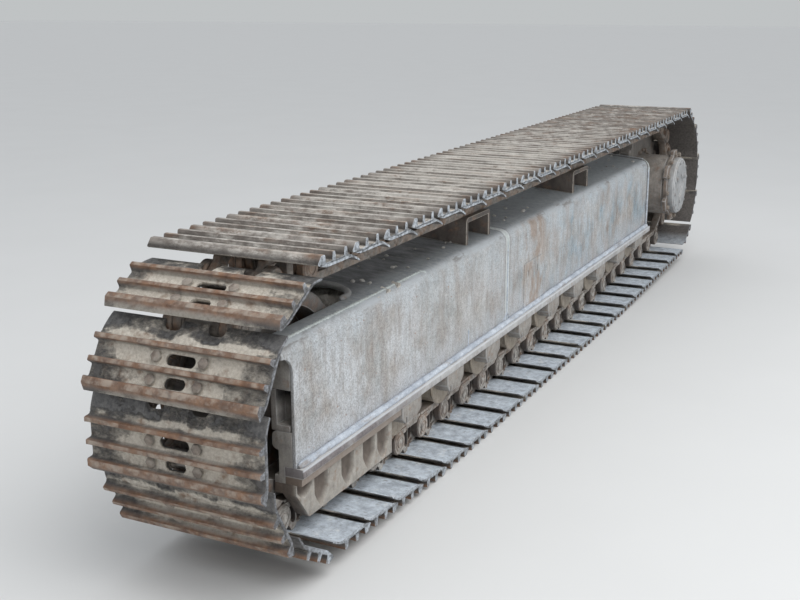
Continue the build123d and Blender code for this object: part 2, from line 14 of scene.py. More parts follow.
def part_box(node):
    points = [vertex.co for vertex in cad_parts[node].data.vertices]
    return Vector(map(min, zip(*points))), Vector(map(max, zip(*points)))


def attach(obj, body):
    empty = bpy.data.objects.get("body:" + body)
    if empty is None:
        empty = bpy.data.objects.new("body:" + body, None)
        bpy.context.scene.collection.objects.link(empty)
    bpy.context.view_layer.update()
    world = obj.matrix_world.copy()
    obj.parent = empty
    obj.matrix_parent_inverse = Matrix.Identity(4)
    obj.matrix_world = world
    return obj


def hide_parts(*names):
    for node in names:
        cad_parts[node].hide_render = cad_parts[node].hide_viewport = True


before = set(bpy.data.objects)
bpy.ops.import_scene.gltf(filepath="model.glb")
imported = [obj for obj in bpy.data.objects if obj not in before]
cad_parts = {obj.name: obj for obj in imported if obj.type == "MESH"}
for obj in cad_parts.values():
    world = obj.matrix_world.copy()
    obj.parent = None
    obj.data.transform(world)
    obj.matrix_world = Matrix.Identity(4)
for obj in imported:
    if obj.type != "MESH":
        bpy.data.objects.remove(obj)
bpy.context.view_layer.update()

# Studio: a plain pale floor under the unit and the same pale tone behind it. The floor
# is matt and takes the unit's shadow. Soft light comes from all over and from one large
# panel above, as under an overcast sky.
PALE = (0.66, 0.66, 0.65, 1.0)
FLOOR_HALF = 60.0

floor_mesh = bpy.data.meshes.new("studio_floor")
floor_mesh.from_pydata(
    [(-FLOOR_HALF, -FLOOR_HALF, 0), (FLOOR_HALF, -FLOOR_HALF, 0),
     (FLOOR_HALF, FLOOR_HALF, 0), (-FLOOR_HALF, FLOOR_HALF, 0)],
    [], [(0, 1, 2, 3)],
)
floor = bpy.data.objects.new("studio_floor", floor_mesh)
bpy.context.scene.collection.objects.link(floor)
floor_finish = bpy.data.materials.new("studio_floor")
floor_finish.use_nodes = True
floor_shader = floor_finish.node_tree.nodes["Principled BSDF"]
floor_shader.inputs["Roughness"].default_value = 0.9
floor_shader.inputs["Specular IOR Level"].default_value = 0.2
floor_place = floor_finish.node_tree.nodes.new("ShaderNodeTexCoord")
floor_grain = floor_finish.node_tree.nodes.new("ShaderNodeTexNoise")
floor_grain.inputs["Scale"].default_value = 1.5
floor_grain.inputs["Detail"].default_value = 8
floor_tone = floor_finish.node_tree.nodes.new("ShaderNodeMix")
floor_tone.data_type = "RGBA"
floor_tone.inputs[6].default_value = (0.63, 0.63, 0.62, 1.0)
floor_tone.inputs[7].default_value = PALE
floor_link = floor_finish.node_tree.links.new
floor_link(floor_place.outputs["Object"], floor_grain.inputs["Vector"])
floor_link(floor_grain.outputs[0], floor_tone.inputs[0])
floor_link(floor_tone.outputs[2], floor_shader.inputs["Base Color"])
floor_mesh.materials.append(floor_finish)

sky = bpy.data.worlds.new("studio")
bpy.context.scene.world = sky
sky.use_nodes = True
sky_nodes, sky_link = sky.node_tree.nodes, sky.node_tree.links.new
sky_nodes.clear()
sky_light = sky_nodes.new("ShaderNodeBackground")
sky_light.inputs["Color"].default_value = (0.93, 0.96, 1.0, 1.0)
sky_light.inputs["Strength"].default_value = 0.85
sky_seen = sky_nodes.new("ShaderNodeBackground")
sky_seen.inputs["Color"].default_value = (0.525, 0.544, 0.551, 1.0)
sky_seen.inputs["Strength"].default_value = 1.0
sky_rays = sky_nodes.new("ShaderNodeLightPath")
seen_or_mirrored = sky_nodes.new("ShaderNodeMath")
seen_or_mirrored.operation = "MAXIMUM"
seen_or_through = sky_nodes.new("ShaderNodeMath")
seen_or_through.operation = "MAXIMUM"
sky_mix = sky_nodes.new("ShaderNodeMixShader")
sky_out = sky_nodes.new("ShaderNodeOutputWorld")
sky_link(sky_rays.outputs["Is Camera Ray"], seen_or_mirrored.inputs[0])
sky_link(sky_rays.outputs["Is Glossy Ray"], seen_or_mirrored.inputs[1])
sky_link(seen_or_mirrored.outputs[0], seen_or_through.inputs[0])
sky_link(sky_rays.outputs["Is Transmission Ray"], seen_or_through.inputs[1])
sky_link(seen_or_through.outputs[0], sky_mix.inputs[0])
sky_link(sky_light.outputs[0], sky_mix.inputs[1])
sky_link(sky_seen.outputs[0], sky_mix.inputs[2])
sky_link(sky_mix.outputs[0], sky_out.inputs[0])

panel = bpy.data.lights.new("overhead_panel", "AREA")
panel.shape = "RECTANGLE"
panel.size, panel.size_y = 7.0, 5.0
panel.energy = 330.0
panel_place = bpy.data.objects.new("overhead_panel", panel)
panel_place.location = (-2.5, -3.6, 6.0)
panel_place.rotation_euler = (
    Vector((-0.3, 0.0, 0.4)) - panel_place.location
).to_track_quat("-Z", "Y").to_euler()
bpy.context.scene.collection.objects.link(panel_place)

# Camera: stands in front of the idler on the outer side, at a person's eye height, and
# looks back along the unit and 15 degrees down.
CAMERA_PLACE = Vector((-5.062, -1.900, 1.720))
CAMERA_HEADING = 1.1116
CAMERA_DIP = 0.2626
CAMERA_ROLL = -0.0035

camera = bpy.data.cameras.new("camera")
camera.lens = 51.06
camera_object = bpy.data.objects.new("camera", camera)
ahead = Vector((
    math.sin(CAMERA_HEADING) * math.cos(CAMERA_DIP),
    math.cos(CAMERA_HEADING) * math.cos(CAMERA_DIP),
    -math.sin(CAMERA_DIP),
))
level = Vector((math.cos(CAMERA_HEADING), -math.sin(CAMERA_HEADING), 0.0))
upward = level.cross(ahead)
right = level * math.cos(CAMERA_ROLL) + upward * math.sin(CAMERA_ROLL)
top = upward * math.cos(CAMERA_ROLL) - level * math.sin(CAMERA_ROLL)
turned = Matrix((right, top, -ahead)).transposed().to_4x4()
camera_object.matrix_world = Matrix.Translation(CAMERA_PLACE) @ turned
bpy.context.scene.collection.objects.link(camera_object)
bpy.context.scene.camera = camera_object
bpy.context.scene.view_settings.view_transform = "Standard"


# Track shoes: rolled steel plates with three bars, a sloped front edge and a curved rear
# lip with two notches. Each has two slots that let dirt out and is bolted to its links.
# The bars are worn and rusty, pale dried mud lies between them, and the lips are dark.
PITCH = 0.203
WHEEL_LINKS = 12
RUN_LINKS = 22
PIN_TO_SEAT = 0.062
SHOE_HALF = 0.300
FLAT_FROM = 0.750
FLAT_TO = 3.120
WHEEL_RAISE = 0.050
CHAIN_Y = -0.020
low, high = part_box("idler_wheel")
idler_x, axle_z = (low.x + high.x) / 2, (low.z + high.z) / 2
low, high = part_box("sprocket")
wheelbase = (low.x + high.x) / 2 - idler_x
pin_radius = PITCH / (2 * math.sin(math.pi / WHEEL_LINKS))
flat_radius = pin_radius * math.cos(math.pi / WHEEL_LINKS)
flat_pin_z = axle_z - flat_radius - WHEEL_RAISE


def bottom_pin_z(x):
    """Height of the bottom run's pins, x from the idler's axle."""
    rise = 0.0
    if x < FLAT_FROM:
        rise = 1 - x / FLAT_FROM
    if x > FLAT_TO:
        rise = (x - FLAT_TO) / (wheelbase - FLAT_TO)
    return flat_pin_z + WHEEL_RAISE * min(rise, 1.0)


def loop_of_pins():
    """Every pin (x, z) in the order of travel: top run, idler, bottom run, sprocket."""
    steps = [(step + 0.5) * PITCH for step in range(RUN_LINKS)]
    pins = [(x, axle_z + flat_radius) for x in reversed(steps)]
    for centre, start, run in ((0.0, 90, [(x, bottom_pin_z(x)) for x in steps]), (wheelbase, 270, [])):
        for step in range(WHEEL_LINKS // 2):
            angle = math.radians(start + 360 / WHEEL_LINKS * (step + 0.5))
            pins.append((centre + pin_radius * math.cos(angle), axle_z + pin_radius * math.sin(angle)))
        pins += run
    return [(x + idler_x, z) for x, z in pins]


def link_object(name, mesh):
    """A new object in the scene for a mesh."""
    piece = bpy.data.objects.new(name, mesh)
    bpy.context.scene.collection.objects.link(piece)
    return piece


def mesh_of(name, points, faces):
    """A mesh with its faces turned outwards."""
    mesh = bpy.data.meshes.new(name)
    mesh.from_pydata(points, [], faces)
    work = bmesh.new()
    work.from_mesh(mesh)
    bmesh.ops.remove_doubles(work, verts=work.verts, dist=1e-6)
    bmesh.ops.recalc_face_normals(work, faces=work.faces)
    work.to_mesh(mesh)
    work.free()
    return mesh


def evaluated(piece, name):
    """A plain mesh of an object with its modifiers, and the object is taken away."""
    depsgraph = bpy.context.evaluated_depsgraph_get()
    mesh = bpy.data.meshes.new_from_object(piece.evaluated_get(depsgraph))
    mesh.name = name
    bpy.data.objects.remove(piece)
    return mesh


def add_piece(name, mesh, finish, angle=35, node=None):
    """Puts a finished piece on the unit, in place of its plain one where it has one."""
    mesh.shade_smooth()
    mesh.set_sharp_from_angle(angle=math.radians(angle))
    mesh.materials.clear()
    mesh.materials.append(finish)
    piece = link_object(name, mesh)
    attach(piece, "root")
    if node:
        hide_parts(node)


def joined(name, meshes):
    """One mesh from several, without changing them."""
    work = bmesh.new()
    for mesh in meshes:
        work.from_mesh(mesh)
    made = bpy.data.meshes.new(name)
    work.to_mesh(made)
    work.free()
    return made


def hex_bolt(across, height, place=(0, 0, 0), turn=None, washer=1.25):
    """A bolt head on its washer, standing on local z, with a chamfered top."""
    work = bmesh.new()
    radius = across / math.sqrt(3)
    for sides, r_low, r_high, z_low, z_high in (
        (20, across * 0.5 * washer, across * 0.5 * washer, 0, height * 0.22),
        (6, radius, radius, height * 0.22, height * 0.85),
        (6, radius, radius * 0.82, height * 0.85, height),
    ):
        made = bmesh.ops.create_cone(
            work, cap_ends=True, segments=sides, radius1=r_low, radius2=r_high, depth=z_high - z_low
        )
        bmesh.ops.translate(work, verts=made["verts"], vec=(0, 0, (z_low + z_high) / 2))
    spot = Matrix.Translation(place) @ (turn or Matrix.Identity(4))
    bmesh.ops.transform(work, matrix=spot, verts=work.verts)
    mesh = bpy.data.meshes.new("bolt")
    work.to_mesh(mesh)
    work.free()
    return mesh


# The shoe's outline, s ahead of its front pin and h over its seat on the links.
SHOE_FRONT_TOP = [
    (0.002, 0.000), (0.046, 0.0130), (0.0495, 0.0160), (0.0490, 0.0195), (0.0325, 0.0384), (0.0300, 0.040),
    (0.0140, 0.040), (0.0112, 0.0386), (0.0100, 0.035), (0.0088, 0.020), (0.0065, 0.0158), (0.0010, 0.0142),
]
THIN_BAR = [
    (0.016, 0.0142), (0.0115, 0.0160), (0.0095, 0.021), (0.0080, 0.036), (0.0068, 0.0390), (0.0045, 0.040),
]
MIDDLE_BAR, REAR_BAR = -0.043, -0.113
LIP_TOP = [
    (-0.124, 0.0130), (-0.136, 0.0115), (-0.150, 0.0075), (-0.164, 0.0018), (-0.178, -0.0050),
    (-0.190, -0.0112), (-0.196, -0.0146), (-0.198, -0.0162),
]
LIP_BOTTOM = [
    (-0.1975, -0.0190), (-0.195, -0.0205), (-0.188, -0.0175), (-0.176, -0.0110), (-0.162, -0.0048),
    (-0.150, -0.0012), (-0.142, 0.0),
]
NOTCH_Y, NOTCH_HALF, NOTCH_DEPTH = 0.075, 0.032, 0.034
LIP_START, LIP_END = -0.122, -0.198
SLOTS = [(-0.011, 0.072), (-0.078, 0.102)]
SLOT_WIDTH = 0.034
LIP_THINNING = 0.9
END_INSET = 0.0015
BOLT_S, BOLT_Y, BOLT_SEAT = (-0.012, -0.080), 0.081, 0.0142


def shoe_outline():
    """The closed outline (s, h) that the shoe is rolled to."""
    bars = []
    for centre in (MIDDLE_BAR, REAR_BAR):
        bars += [(centre + s, h) for s, h in THIN_BAR] + [(centre - s, h) for s, h in reversed(THIN_BAR)]
    return SHOE_FRONT_TOP + bars + LIP_TOP + LIP_BOTTOM


def notch_cut(y):
    """How far the lip's edge steps back at a place across the shoe."""
    t = abs(abs(y) - NOTCH_Y) / NOTCH_HALF
    return NOTCH_DEPTH * math.sqrt(1 - t ** 4) if t < 1 else 0.0


def over_lip(place):
    """Whether a point of the shoe lies on the upper side of its rear lip."""
    reach = (LIP_START + place.x) / (LIP_START - LIP_END)
    if reach <= 0:
        return False
    pull = 1 - notch_cut(place.y) / (LIP_START - LIP_END)
    share = min(reach / pull, 1.0)
    s = LIP_START - share * (LIP_START - LIP_END)
    heights = []
    for line in (LIP_TOP, LIP_BOTTOM):
        line = sorted(line)
        start, stop = next(((a, b) for a, b in zip(line, line[1:]) if a[0] <= s <= b[0]), line[-2:])
        h = start[1] + (stop[1] - start[1]) * (s - start[0]) / (stop[0] - start[0])
        heights.append(h - (1 - pull) * share * h * LIP_THINNING)
    return abs(place.z - heights[0]) < abs(place.z - heights[1])


def one_shoe():
    """The rolled shoe, with finer steps across it round the lip's notches."""
    outline = shoe_outline()
    notch = [NOTCH_Y + NOTCH_HALF * t for t in (-1.02, -0.97, -0.86, -0.6, 0, 0.6, 0.86, 0.97, 1.02)]
    half = [0.0, 0.018] + notch + [0.130, 0.160, 0.195, 0.230, 0.265, 0.292, 0.2985, SHOE_HALF]
    stations = [-y for y in reversed(half[1:])] + half
    points = []
    for y in stations:
        pull = 1 - notch_cut(y) / (LIP_START - LIP_END)
        inset = END_INSET if abs(y) == SHOE_HALF else 0.0
        for s, h in outline:
            if s < LIP_START:
                share = (LIP_START - s) / (LIP_START - LIP_END)
                s = LIP_START - share * pull * (LIP_START - LIP_END)
                h = h - (1 - pull) * share * h * LIP_THINNING
            points.append((-(s - inset if s > 0 else s + inset), y, max(h - inset, min(h, 0.0))))
    count = len(outline)
    faces = []
    for row in range(len(stations) - 1):
        for step in range(count):
            after = (step + 1) % count
            base = row * count
            faces.append((base + step, base + after, base + count + after, base + count + step))
    faces.append(tuple(range(count)))
    faces.append(tuple(range(len(points) - count, len(points))))
    return mesh_of("shoe", points, faces)


def with_slots(shoe_mesh):
    """The shoe with its two rounded slots cut through."""
    cutters = []
    for s, length in SLOTS:
        work = bmesh.new()
        made = bmesh.ops.create_cone(
            work, cap_ends=True, segments=24, radius1=SLOT_WIDTH / 2, radius2=SLOT_WIDTH / 2, depth=0.08
        )
        for vert in made["verts"]:
            vert.co.y += math.copysign((length - SLOT_WIDTH) / 2, vert.co.y)
            vert.co.x -= s
        mesh = bpy.data.meshes.new("slot")
        work.to_mesh(mesh)
        work.free()
        cutters.append(mesh)
    cutter = link_object("slots", joined("slots", cutters))
    piece = link_object("shoe", shoe_mesh)
    cut = piece.modifiers.new("slots", "BOOLEAN")
    cut.operation = "DIFFERENCE"
    cut.solver = "EXACT"
    cut.object = cutter
    mesh = evaluated(piece, "shoe")
    bpy.data.objects.remove(cutter)
    return mesh


def places_tree():
    """Sets one piece on every place, turned as the place says, each with its own tone."""
    tree = bpy.data.node_groups.new("on_places", "GeometryNodeTree")
    face = tree.interface
    face.new_socket("Places", in_out="INPUT", socket_type="NodeSocketGeometry")
    face.new_socket("Piece", in_out="INPUT", socket_type="NodeSocketObject")
    face.new_socket("Height over place", in_out="INPUT", socket_type="NodeSocketFloat")
    face.new_socket("Seed", in_out="INPUT", socket_type="NodeSocketInt")
    face.new_socket("Spread of size", in_out="INPUT", socket_type="NodeSocketFloat")
    face.new_socket("Finish", in_out="INPUT", socket_type="NodeSocketMaterial")
    face.new_socket("Chain", in_out="OUTPUT", socket_type="NodeSocketGeometry")
    node, link = tree.nodes.new, tree.links.new
    given, made = node("NodeGroupInput"), node("NodeGroupOutput")
    turn = node("GeometryNodeInputNamedAttribute")
    turn.data_type = "FLOAT_VECTOR"
    turn.inputs["Name"].default_value = "turn"
    turned_by = node("FunctionNodeEulerToRotation")
    link(turn.outputs["Attribute"], turned_by.inputs["Euler"])
    piece = node("GeometryNodeObjectInfo")
    link(given.outputs["Piece"], piece.inputs["Object"])
    raised = node("GeometryNodeTransform")
    lift = node("ShaderNodeCombineXYZ")
    link(given.outputs["Height over place"], lift.inputs["Z"])
    link(piece.outputs["Geometry"], raised.inputs["Geometry"])
    link(lift.outputs["Vector"], raised.inputs["Translation"])
    on_places = node("GeometryNodeInstanceOnPoints")
    link(given.outputs["Places"], on_places.inputs["Points"])
    link(raised.outputs["Geometry"], on_places.inputs["Instance"])
    link(turned_by.outputs["Rotation"], on_places.inputs["Rotation"])
    smallest, largest, size = node("ShaderNodeMath"), node("ShaderNodeMath"), node("FunctionNodeRandomValue")
    smallest.operation, largest.operation = "SUBTRACT", "ADD"
    size.data_type = "FLOAT"
    for bound in (smallest, largest):
        bound.inputs[0].default_value = 1.0
        link(given.outputs["Spread of size"], bound.inputs[1])
    link(smallest.outputs[0], size.inputs[2])
    link(largest.outputs[0], size.inputs[3])
    link(given.outputs["Seed"], size.inputs["Seed"])
    link(size.outputs[1], on_places.inputs["Scale"])
    tone = node("FunctionNodeRandomValue")
    tone.data_type = "FLOAT"
    link(given.outputs["Seed"], tone.inputs["Seed"])
    kept = node("GeometryNodeStoreNamedAttribute")
    kept.data_type = "FLOAT"
    kept.domain = "INSTANCE"
    kept.inputs["Name"].default_value = "tone"
    link(on_places.outputs["Instances"], kept.inputs["Geometry"])
    link(tone.outputs[1], kept.inputs["Value"])
    real = node("GeometryNodeRealizeInstances")
    finished = node("GeometryNodeSetMaterial")
    link(kept.outputs["Geometry"], real.inputs["Geometry"])
    link(real.outputs["Geometry"], finished.inputs["Geometry"])
    link(given.outputs["Finish"], finished.inputs["Material"])
    link(finished.outputs["Geometry"], made.inputs["Chain"])
    return tree


PLACES_TREE = places_tree()


def chain_places():
    """A point on every link's front pin, with the turn from the top run."""
    pins = loop_of_pins()
    mesh = bpy.data.meshes.new("chain_places")
    mesh.from_pydata([(x, CHAIN_Y, z) for x, z in pins], [], [])
    turns = mesh.attributes.new("turn", "FLOAT_VECTOR", "POINT")
    for number, (x, z) in enumerate(pins):
        behind = pins[number - 1]
        turns.data[number].vector = (0.0, math.atan2(z - behind[1], behind[0] - x), 0.0)
    return mesh


def give(modifier, **values):
    """Sets a node modifier's inputs by their sockets' identifiers."""
    names = {
        item.name: item.identifier for item in modifier.node_group.interface.items_tree if item.in_out == "INPUT"
    }
    for name, value in values.items():
        modifier[names[name.replace("_", " ")]] = value


def repeated(name, places, piece_mesh, seed, finish, height=0.0, spread=0.0):
    """The piece repeated on every place, as one plain mesh."""
    pattern = link_object("pattern", piece_mesh)
    host = link_object("host", places)
    modifier = host.modifiers.new("on_places", "NODES")
    modifier.node_group = PLACES_TREE
    give(modifier, Piece=pattern, Height_over_place=height, Seed=seed, Spread_of_size=spread, Finish=finish)
    mesh = evaluated(host, name)
    bpy.data.objects.remove(pattern)
    mesh.materials.clear()
    mesh.materials.append(finish)
    return mesh


# Finishes are built up from a few layers: a blank one, noise at a real size in metres, a
# colour over another by a mask, and relief.
def finish_of(name):
    """A new finish, with its tree and shader."""
    made = bpy.data.materials.new(name)
    made.use_nodes = True
    shader = made.node_tree.nodes["Principled BSDF"]
    shader.inputs["Roughness"].default_value = 0.6
    return made, made.node_tree, shader


def patches(tree, size, detail=6, stretch=(1, 1, 1), low=0.35, high=0.65, rough=0.6, shift=(0, 0, 0)):
    """A soft mask of patches about as large as size, drawn out along the axes by stretch."""
    place = tree.nodes.new("ShaderNodeTexCoord")
    spread = tree.nodes.new("ShaderNodeMapping")
    spread.inputs["Scale"].default_value = [1 / (size * part) for part in stretch]
    spread.inputs["Location"].default_value = shift
    grain = tree.nodes.new("ShaderNodeTexNoise")
    grain.inputs["Scale"].default_value = 1.0
    grain.inputs["Detail"].default_value = detail
    grain.inputs["Roughness"].default_value = rough
    limit = tree.nodes.new("ShaderNodeMapRange")
    limit.inputs["From Min"].default_value = low
    limit.inputs["From Max"].default_value = high
    tree.links.new(place.outputs["Object"], spread.inputs["Vector"])
    tree.links.new(spread.outputs["Vector"], grain.inputs["Vector"])
    tree.links.new(grain.outputs[0], limit.inputs["Value"])
    return limit.outputs["Result"]


def reading(tree, source, low, high):
    """A value brought to the range 0 to 1."""
    limit = tree.nodes.new("ShaderNodeMapRange")
    limit.inputs["From Min"].default_value = low
    limit.inputs["From Max"].default_value = high
    tree.links.new(source, limit.inputs["Value"])
    return limit.outputs["Result"]


def attribute(tree, name):
    """A value stored on the mesh."""
    node = tree.nodes.new("ShaderNodeAttribute")
    node.attribute_name = name
    return node.outputs["Fac"]


def facing(tree, axis):
    """How far a surface faces along an axis, from the mesh's own normals."""
    normal = tree.nodes.new("ShaderNodeNewGeometry")
    split = tree.nodes.new("ShaderNodeSeparateXYZ")
    tree.links.new(normal.outputs["Normal"], split.inputs["Vector"])
    return split.outputs[axis]


def place_along(tree, axis):
    """A place's coordinate along an axis, in metres."""
    place = tree.nodes.new("ShaderNodeTexCoord")
    split = tree.nodes.new("ShaderNodeSeparateXYZ")
    tree.links.new(place.outputs["Object"], split.inputs["Vector"])
    return split.outputs[axis]


def sum_of(tree, kind, one, other, free=False):
    """Two values put together by a sum, difference or the like, kept to 0 to 1 unless free."""
    node = tree.nodes.new("ShaderNodeMath")
    node.operation = kind
    node.use_clamp = not free
    for socket, value in zip(node.inputs, (one, other)):
        if isinstance(value, (int, float)):
            socket.default_value = value
        else:
            tree.links.new(value, socket)
    return node.outputs[0]


def times(tree, one, other, free=False):
    """One mask kept only where the other is too."""
    return sum_of(tree, "MULTIPLY", one, other, free)


def band(tree, axis, start, stop):
    """A mask that grows from 0 to 1 between two places along an axis."""
    return reading(tree, place_along(tree, axis), start, stop)


def from_middle(tree):
    """Distance from the chain's middle plane, in metres."""
    off = sum_of(tree, "SUBTRACT", place_along(tree, "Y"), CHAIN_Y, free=True)
    return sum_of(tree, "ABSOLUTE", off, 0)


def layer(tree, under, over, mask):
    """One colour laid over another where the mask is 1."""
    node = tree.nodes.new("ShaderNodeMix")
    node.data_type = "RGBA"
    for socket, value in ((node.inputs[6], under), (node.inputs[7], over), (node.inputs[0], mask)):
        if isinstance(value, (int, float)):
            socket.default_value = value
        elif isinstance(value, tuple):
            socket.default_value = (*value, 1.0)
        else:
            tree.links.new(value, socket)
    return node.outputs[2]


def mixed(tree, under, over, mask):
    """One number passing to another where the mask is 1."""
    node = tree.nodes.new("ShaderNodeMix")
    node.data_type = "FLOAT"
    for socket, value in ((node.inputs[2], under), (node.inputs[3], over), (node.inputs[0], mask)):
        if isinstance(value, (int, float)):
            socket.default_value = value
        else:
            tree.links.new(value, socket)
    return node.outputs[0]


def relief(tree, shader, *heights):
    """Bump from several (mask, depth in metres) pairs."""
    before = None
    for mask, depth in heights:
        bump = tree.nodes.new("ShaderNodeBump")
        bump.inputs["Strength"].default_value = 1.0
        bump.inputs["Distance"].default_value = depth
        tree.links.new(mask, bump.inputs["Height"])
        if before is not None:
            tree.links.new(before, bump.inputs["Normal"])
        before = bump.outputs["Normal"]
    tree.links.new(before, shader.inputs["Normal"])


def paint(tree, shader, colour, roughness=None, metallic=None):
    """Joins the finished layers to the shader."""
    for name, source in (("Base Color", colour), ("Roughness", roughness), ("Metallic", metallic)):
        if source is not None:
            tree.links.new(source, shader.inputs[name])


TOP_RUN_Z, TOP_ENDS_Z, GROUND_RUN_Z = (0.955, 0.990), (0.935, 0.955), (0.17, 0.09)


def shoe_finish():
    made, tree, shader = finish_of("shoe_steel")
    rise, tone = attribute(tree, "rise"), attribute(tree, "tone")
    off_middle, x = from_middle(tree), place_along(tree, "X")
    on_top, ground_run = band(tree, "Z", *TOP_RUN_Z), band(tree, "Z", *GROUND_RUN_Z)

    # Dark steel, with bars that are rusty, greyer on the top run and rubbed along their tops.
    steel = layer(tree, (0.075, 0.072, 0.072), (0.175, 0.165, 0.155), patches(tree, 0.035, detail=9, rough=0.7))
    rust = layer(tree, (0.13, 0.070, 0.045), (0.27, 0.155, 0.095), patches(tree, 0.025, shift=(3, 1, 7)))
    worn_grey = layer(
        tree, (0.17, 0.145, 0.125), (0.30, 0.27, 0.24), patches(tree, 0.018, detail=8, shift=(2, 8, 1)),
    )
    greyer = times(
        tree, mixed(tree, 0.35, 0.95, on_top), patches(tree, 0.06, low=0.38, high=0.60, shift=(6, 6, 2)),
    )
    on_bar = times(tree, reading(tree, rise, 0.022, 0.034), patches(tree, 0.045, low=0.22, high=0.40))
    colour = layer(tree, steel, layer(tree, rust, worn_grey, greyer), on_bar)
    bar_tops = reading(tree, rise, 0.0383, 0.0395)
    polished = times(tree, bar_tops, patches(tree, 0.04, low=0.45, high=0.62, shift=(9, 4, 2)))
    colour = layer(tree, colour, (0.42, 0.36, 0.30), times(tree, polished, 0.7))

    # Pale dried mud in the valleys, less of it towards the shoes' ends.
    low_down = reading(tree, rise, 0.035, 0.012)
    in_valley = times(tree, low_down, reading(tree, rise, 0.006, 0.011))
    mud_field = patches(
        tree, 0.085, stretch=(1, 1.6, 1), detail=11, low=0.0, high=1.0, rough=0.74, shift=(5, 2, 8),
    )
    reached = sum_of(tree, "ADD", mud_field, mixed(tree, 0.0, 0.20, in_valley), free=True)
    at_ends = mixed(tree, 0.0, 0.18, reading(tree, off_middle, 0.15, 0.29))
    mud_line = sum_of(tree, "ADD", mixed(tree, 0.50, 0.30, tone), at_ends, free=True)
    mud = reading(tree, sum_of(tree, "SUBTRACT", reached, mud_line, free=True), 0.0, 0.16)
    mud = times(tree, times(tree, mud, low_down), reading(tree, rise, 0.0, 0.006))
    crumbs = patches(tree, 0.010, detail=9, low=0.30, high=0.72, rough=0.75, shift=(1, 6, 3))
    dried = layer(tree, (0.52, 0.46, 0.38), (0.90, 0.84, 0.74), crumbs)
    dried = layer(tree, dried, (0.36, 0.26, 0.19), patches(tree, 0.05, low=0.55, high=0.70, shift=(4, 4, 6)))
    colour = layer(tree, colour, dried, mud)

    # The top run: grey patches, pale crumbs strewn over all but the ends, most of them in the
    #     # middle of the run, and painted shade darkening the sides and feet of the bars.
    greyed = layer(
        tree, (0.20, 0.185, 0.17), (0.40, 0.375, 0.345), patches(
            tree, 0.02, detail=9, rough=0.7, shift=(5, 5, 2),
        ),
    )
    grey_at = times(tree, patches(tree, 0.10, stretch=(1, 2, 1), low=0.40, high=0.52, shift=(7, 7, 1)), 0.75)
    colour = layer(tree, colour, greyed, times(tree, on_top, grey_at))
    strewn_field = patches(
        tree, 0.030, stretch=(1, 1.8, 1), detail=11, low=0.0, high=1.0, rough=0.74, shift=(3, 9, 5),
    )
    front_line = mixed(tree, 0.45, 0.34, reading(tree, x, idler_x + 0.35, idler_x + 1.2))
    strewn_line = mixed(tree, front_line, 0.47, reading(tree, x, idler_x + 2.2, idler_x + 3.6))
    strewn = reading(tree, sum_of(tree, "SUBTRACT", strewn_field, strewn_line, free=True), 0.0, 0.13)
    strewn = times(tree, times(tree, strewn, on_top), reading(tree, off_middle, 0.29, 0.22))
    strewn = times(tree, strewn, mixed(tree, 0.85, 0.50, reading(tree, rise, 0.030, 0.038)))
    colour = layer(tree, colour, layer(tree, (0.60, 0.56, 0.50), (0.95, 0.92, 0.86), crumbs), strewn)
    # Painted shade: on the top run the bar sides that look along the track are darkened.
    painted_side_shade = times(tree, reading(tree, sum_of(tree, "ABSOLUTE", facing(tree, "X"), 0), 0.45, 0.80), on_top)
    steep_at = patches(tree, 0.06, stretch=(1, 2, 1), detail=9, low=0.30, high=0.56, shift=(1, 3, 9))
    colour = layer(tree, colour, (0.115, 0.095, 0.082), times(tree, times(tree, painted_side_shade, steep_at), 0.66))
    # Painted shade: darker at the feet of the bars, strongest on the top run.
    painted_base_shade = times(tree, reading(tree, rise, 0.0150, 0.0175), reading(tree, rise, 0.032, 0.022))
    painted_base_shade = times(tree, painted_base_shade, mixed(tree, 0.25, 0.80, on_top))
    colour = layer(tree, colour, (0.065, 0.057, 0.052), painted_base_shade)

    # Dark rear lips; undersides that are dark and pitted, but painted lit, pale and bluish with white
    #     # painted highlights on the ground run, where they look up; and cut ends painted lit on the top
    #     # run and near the ground and painted shaded round the wheels.
    lip = reading(tree, attribute(tree, "lip"), 0.2, 0.8)
    dark_at = patches(tree, 0.016, detail=9, rough=0.75, shift=(2, 2, 9))
    dark = layer(tree, (0.060, 0.060, 0.063), (0.20, 0.195, 0.19), dark_at)
    colour = layer(tree, colour, dark, times(tree, lip, mixed(tree, 0.92, 0.10, mud)))
    # Painted light: on the ground run the inner faces are painted pale and bluish as if lit by the sky, with
    # white painted highlights and dark scratches.
    scoured_at = patches(tree, 0.035, detail=11, low=0.32, high=0.62, rough=0.72, shift=(4, 8, 1))
    painted_lit_inner_face = layer(tree, (0.37, 0.41, 0.46), (0.74, 0.81, 0.88), scoured_at)
    bright = times(tree, patches(tree, 0.05, detail=10, low=0.55, high=0.68, rough=0.7, shift=(8, 1, 6)), 0.8)
    painted_lit_inner_face = layer(tree, painted_lit_inner_face, (0.82, 0.84, 0.85), bright)
    scratched = patches(
        tree, 0.008, stretch=(1, 3, 1), detail=6, low=0.56, high=0.66, rough=0.7, shift=(2, 8, 3),
    )
    painted_lit_inner_face = layer(tree, painted_lit_inner_face, (0.17, 0.165, 0.165), times(tree, scratched, 0.65))
    pitted = layer(
        tree, (0.085, 0.078, 0.072), (0.155, 0.14, 0.13), patches(tree, 0.012, detail=8, shift=(1, 1, 5)),
    )
    under = reading(tree, rise, 0.002, 0.0005)
    colour = layer(tree, colour, layer(tree, pitted, painted_lit_inner_face, ground_run), under)
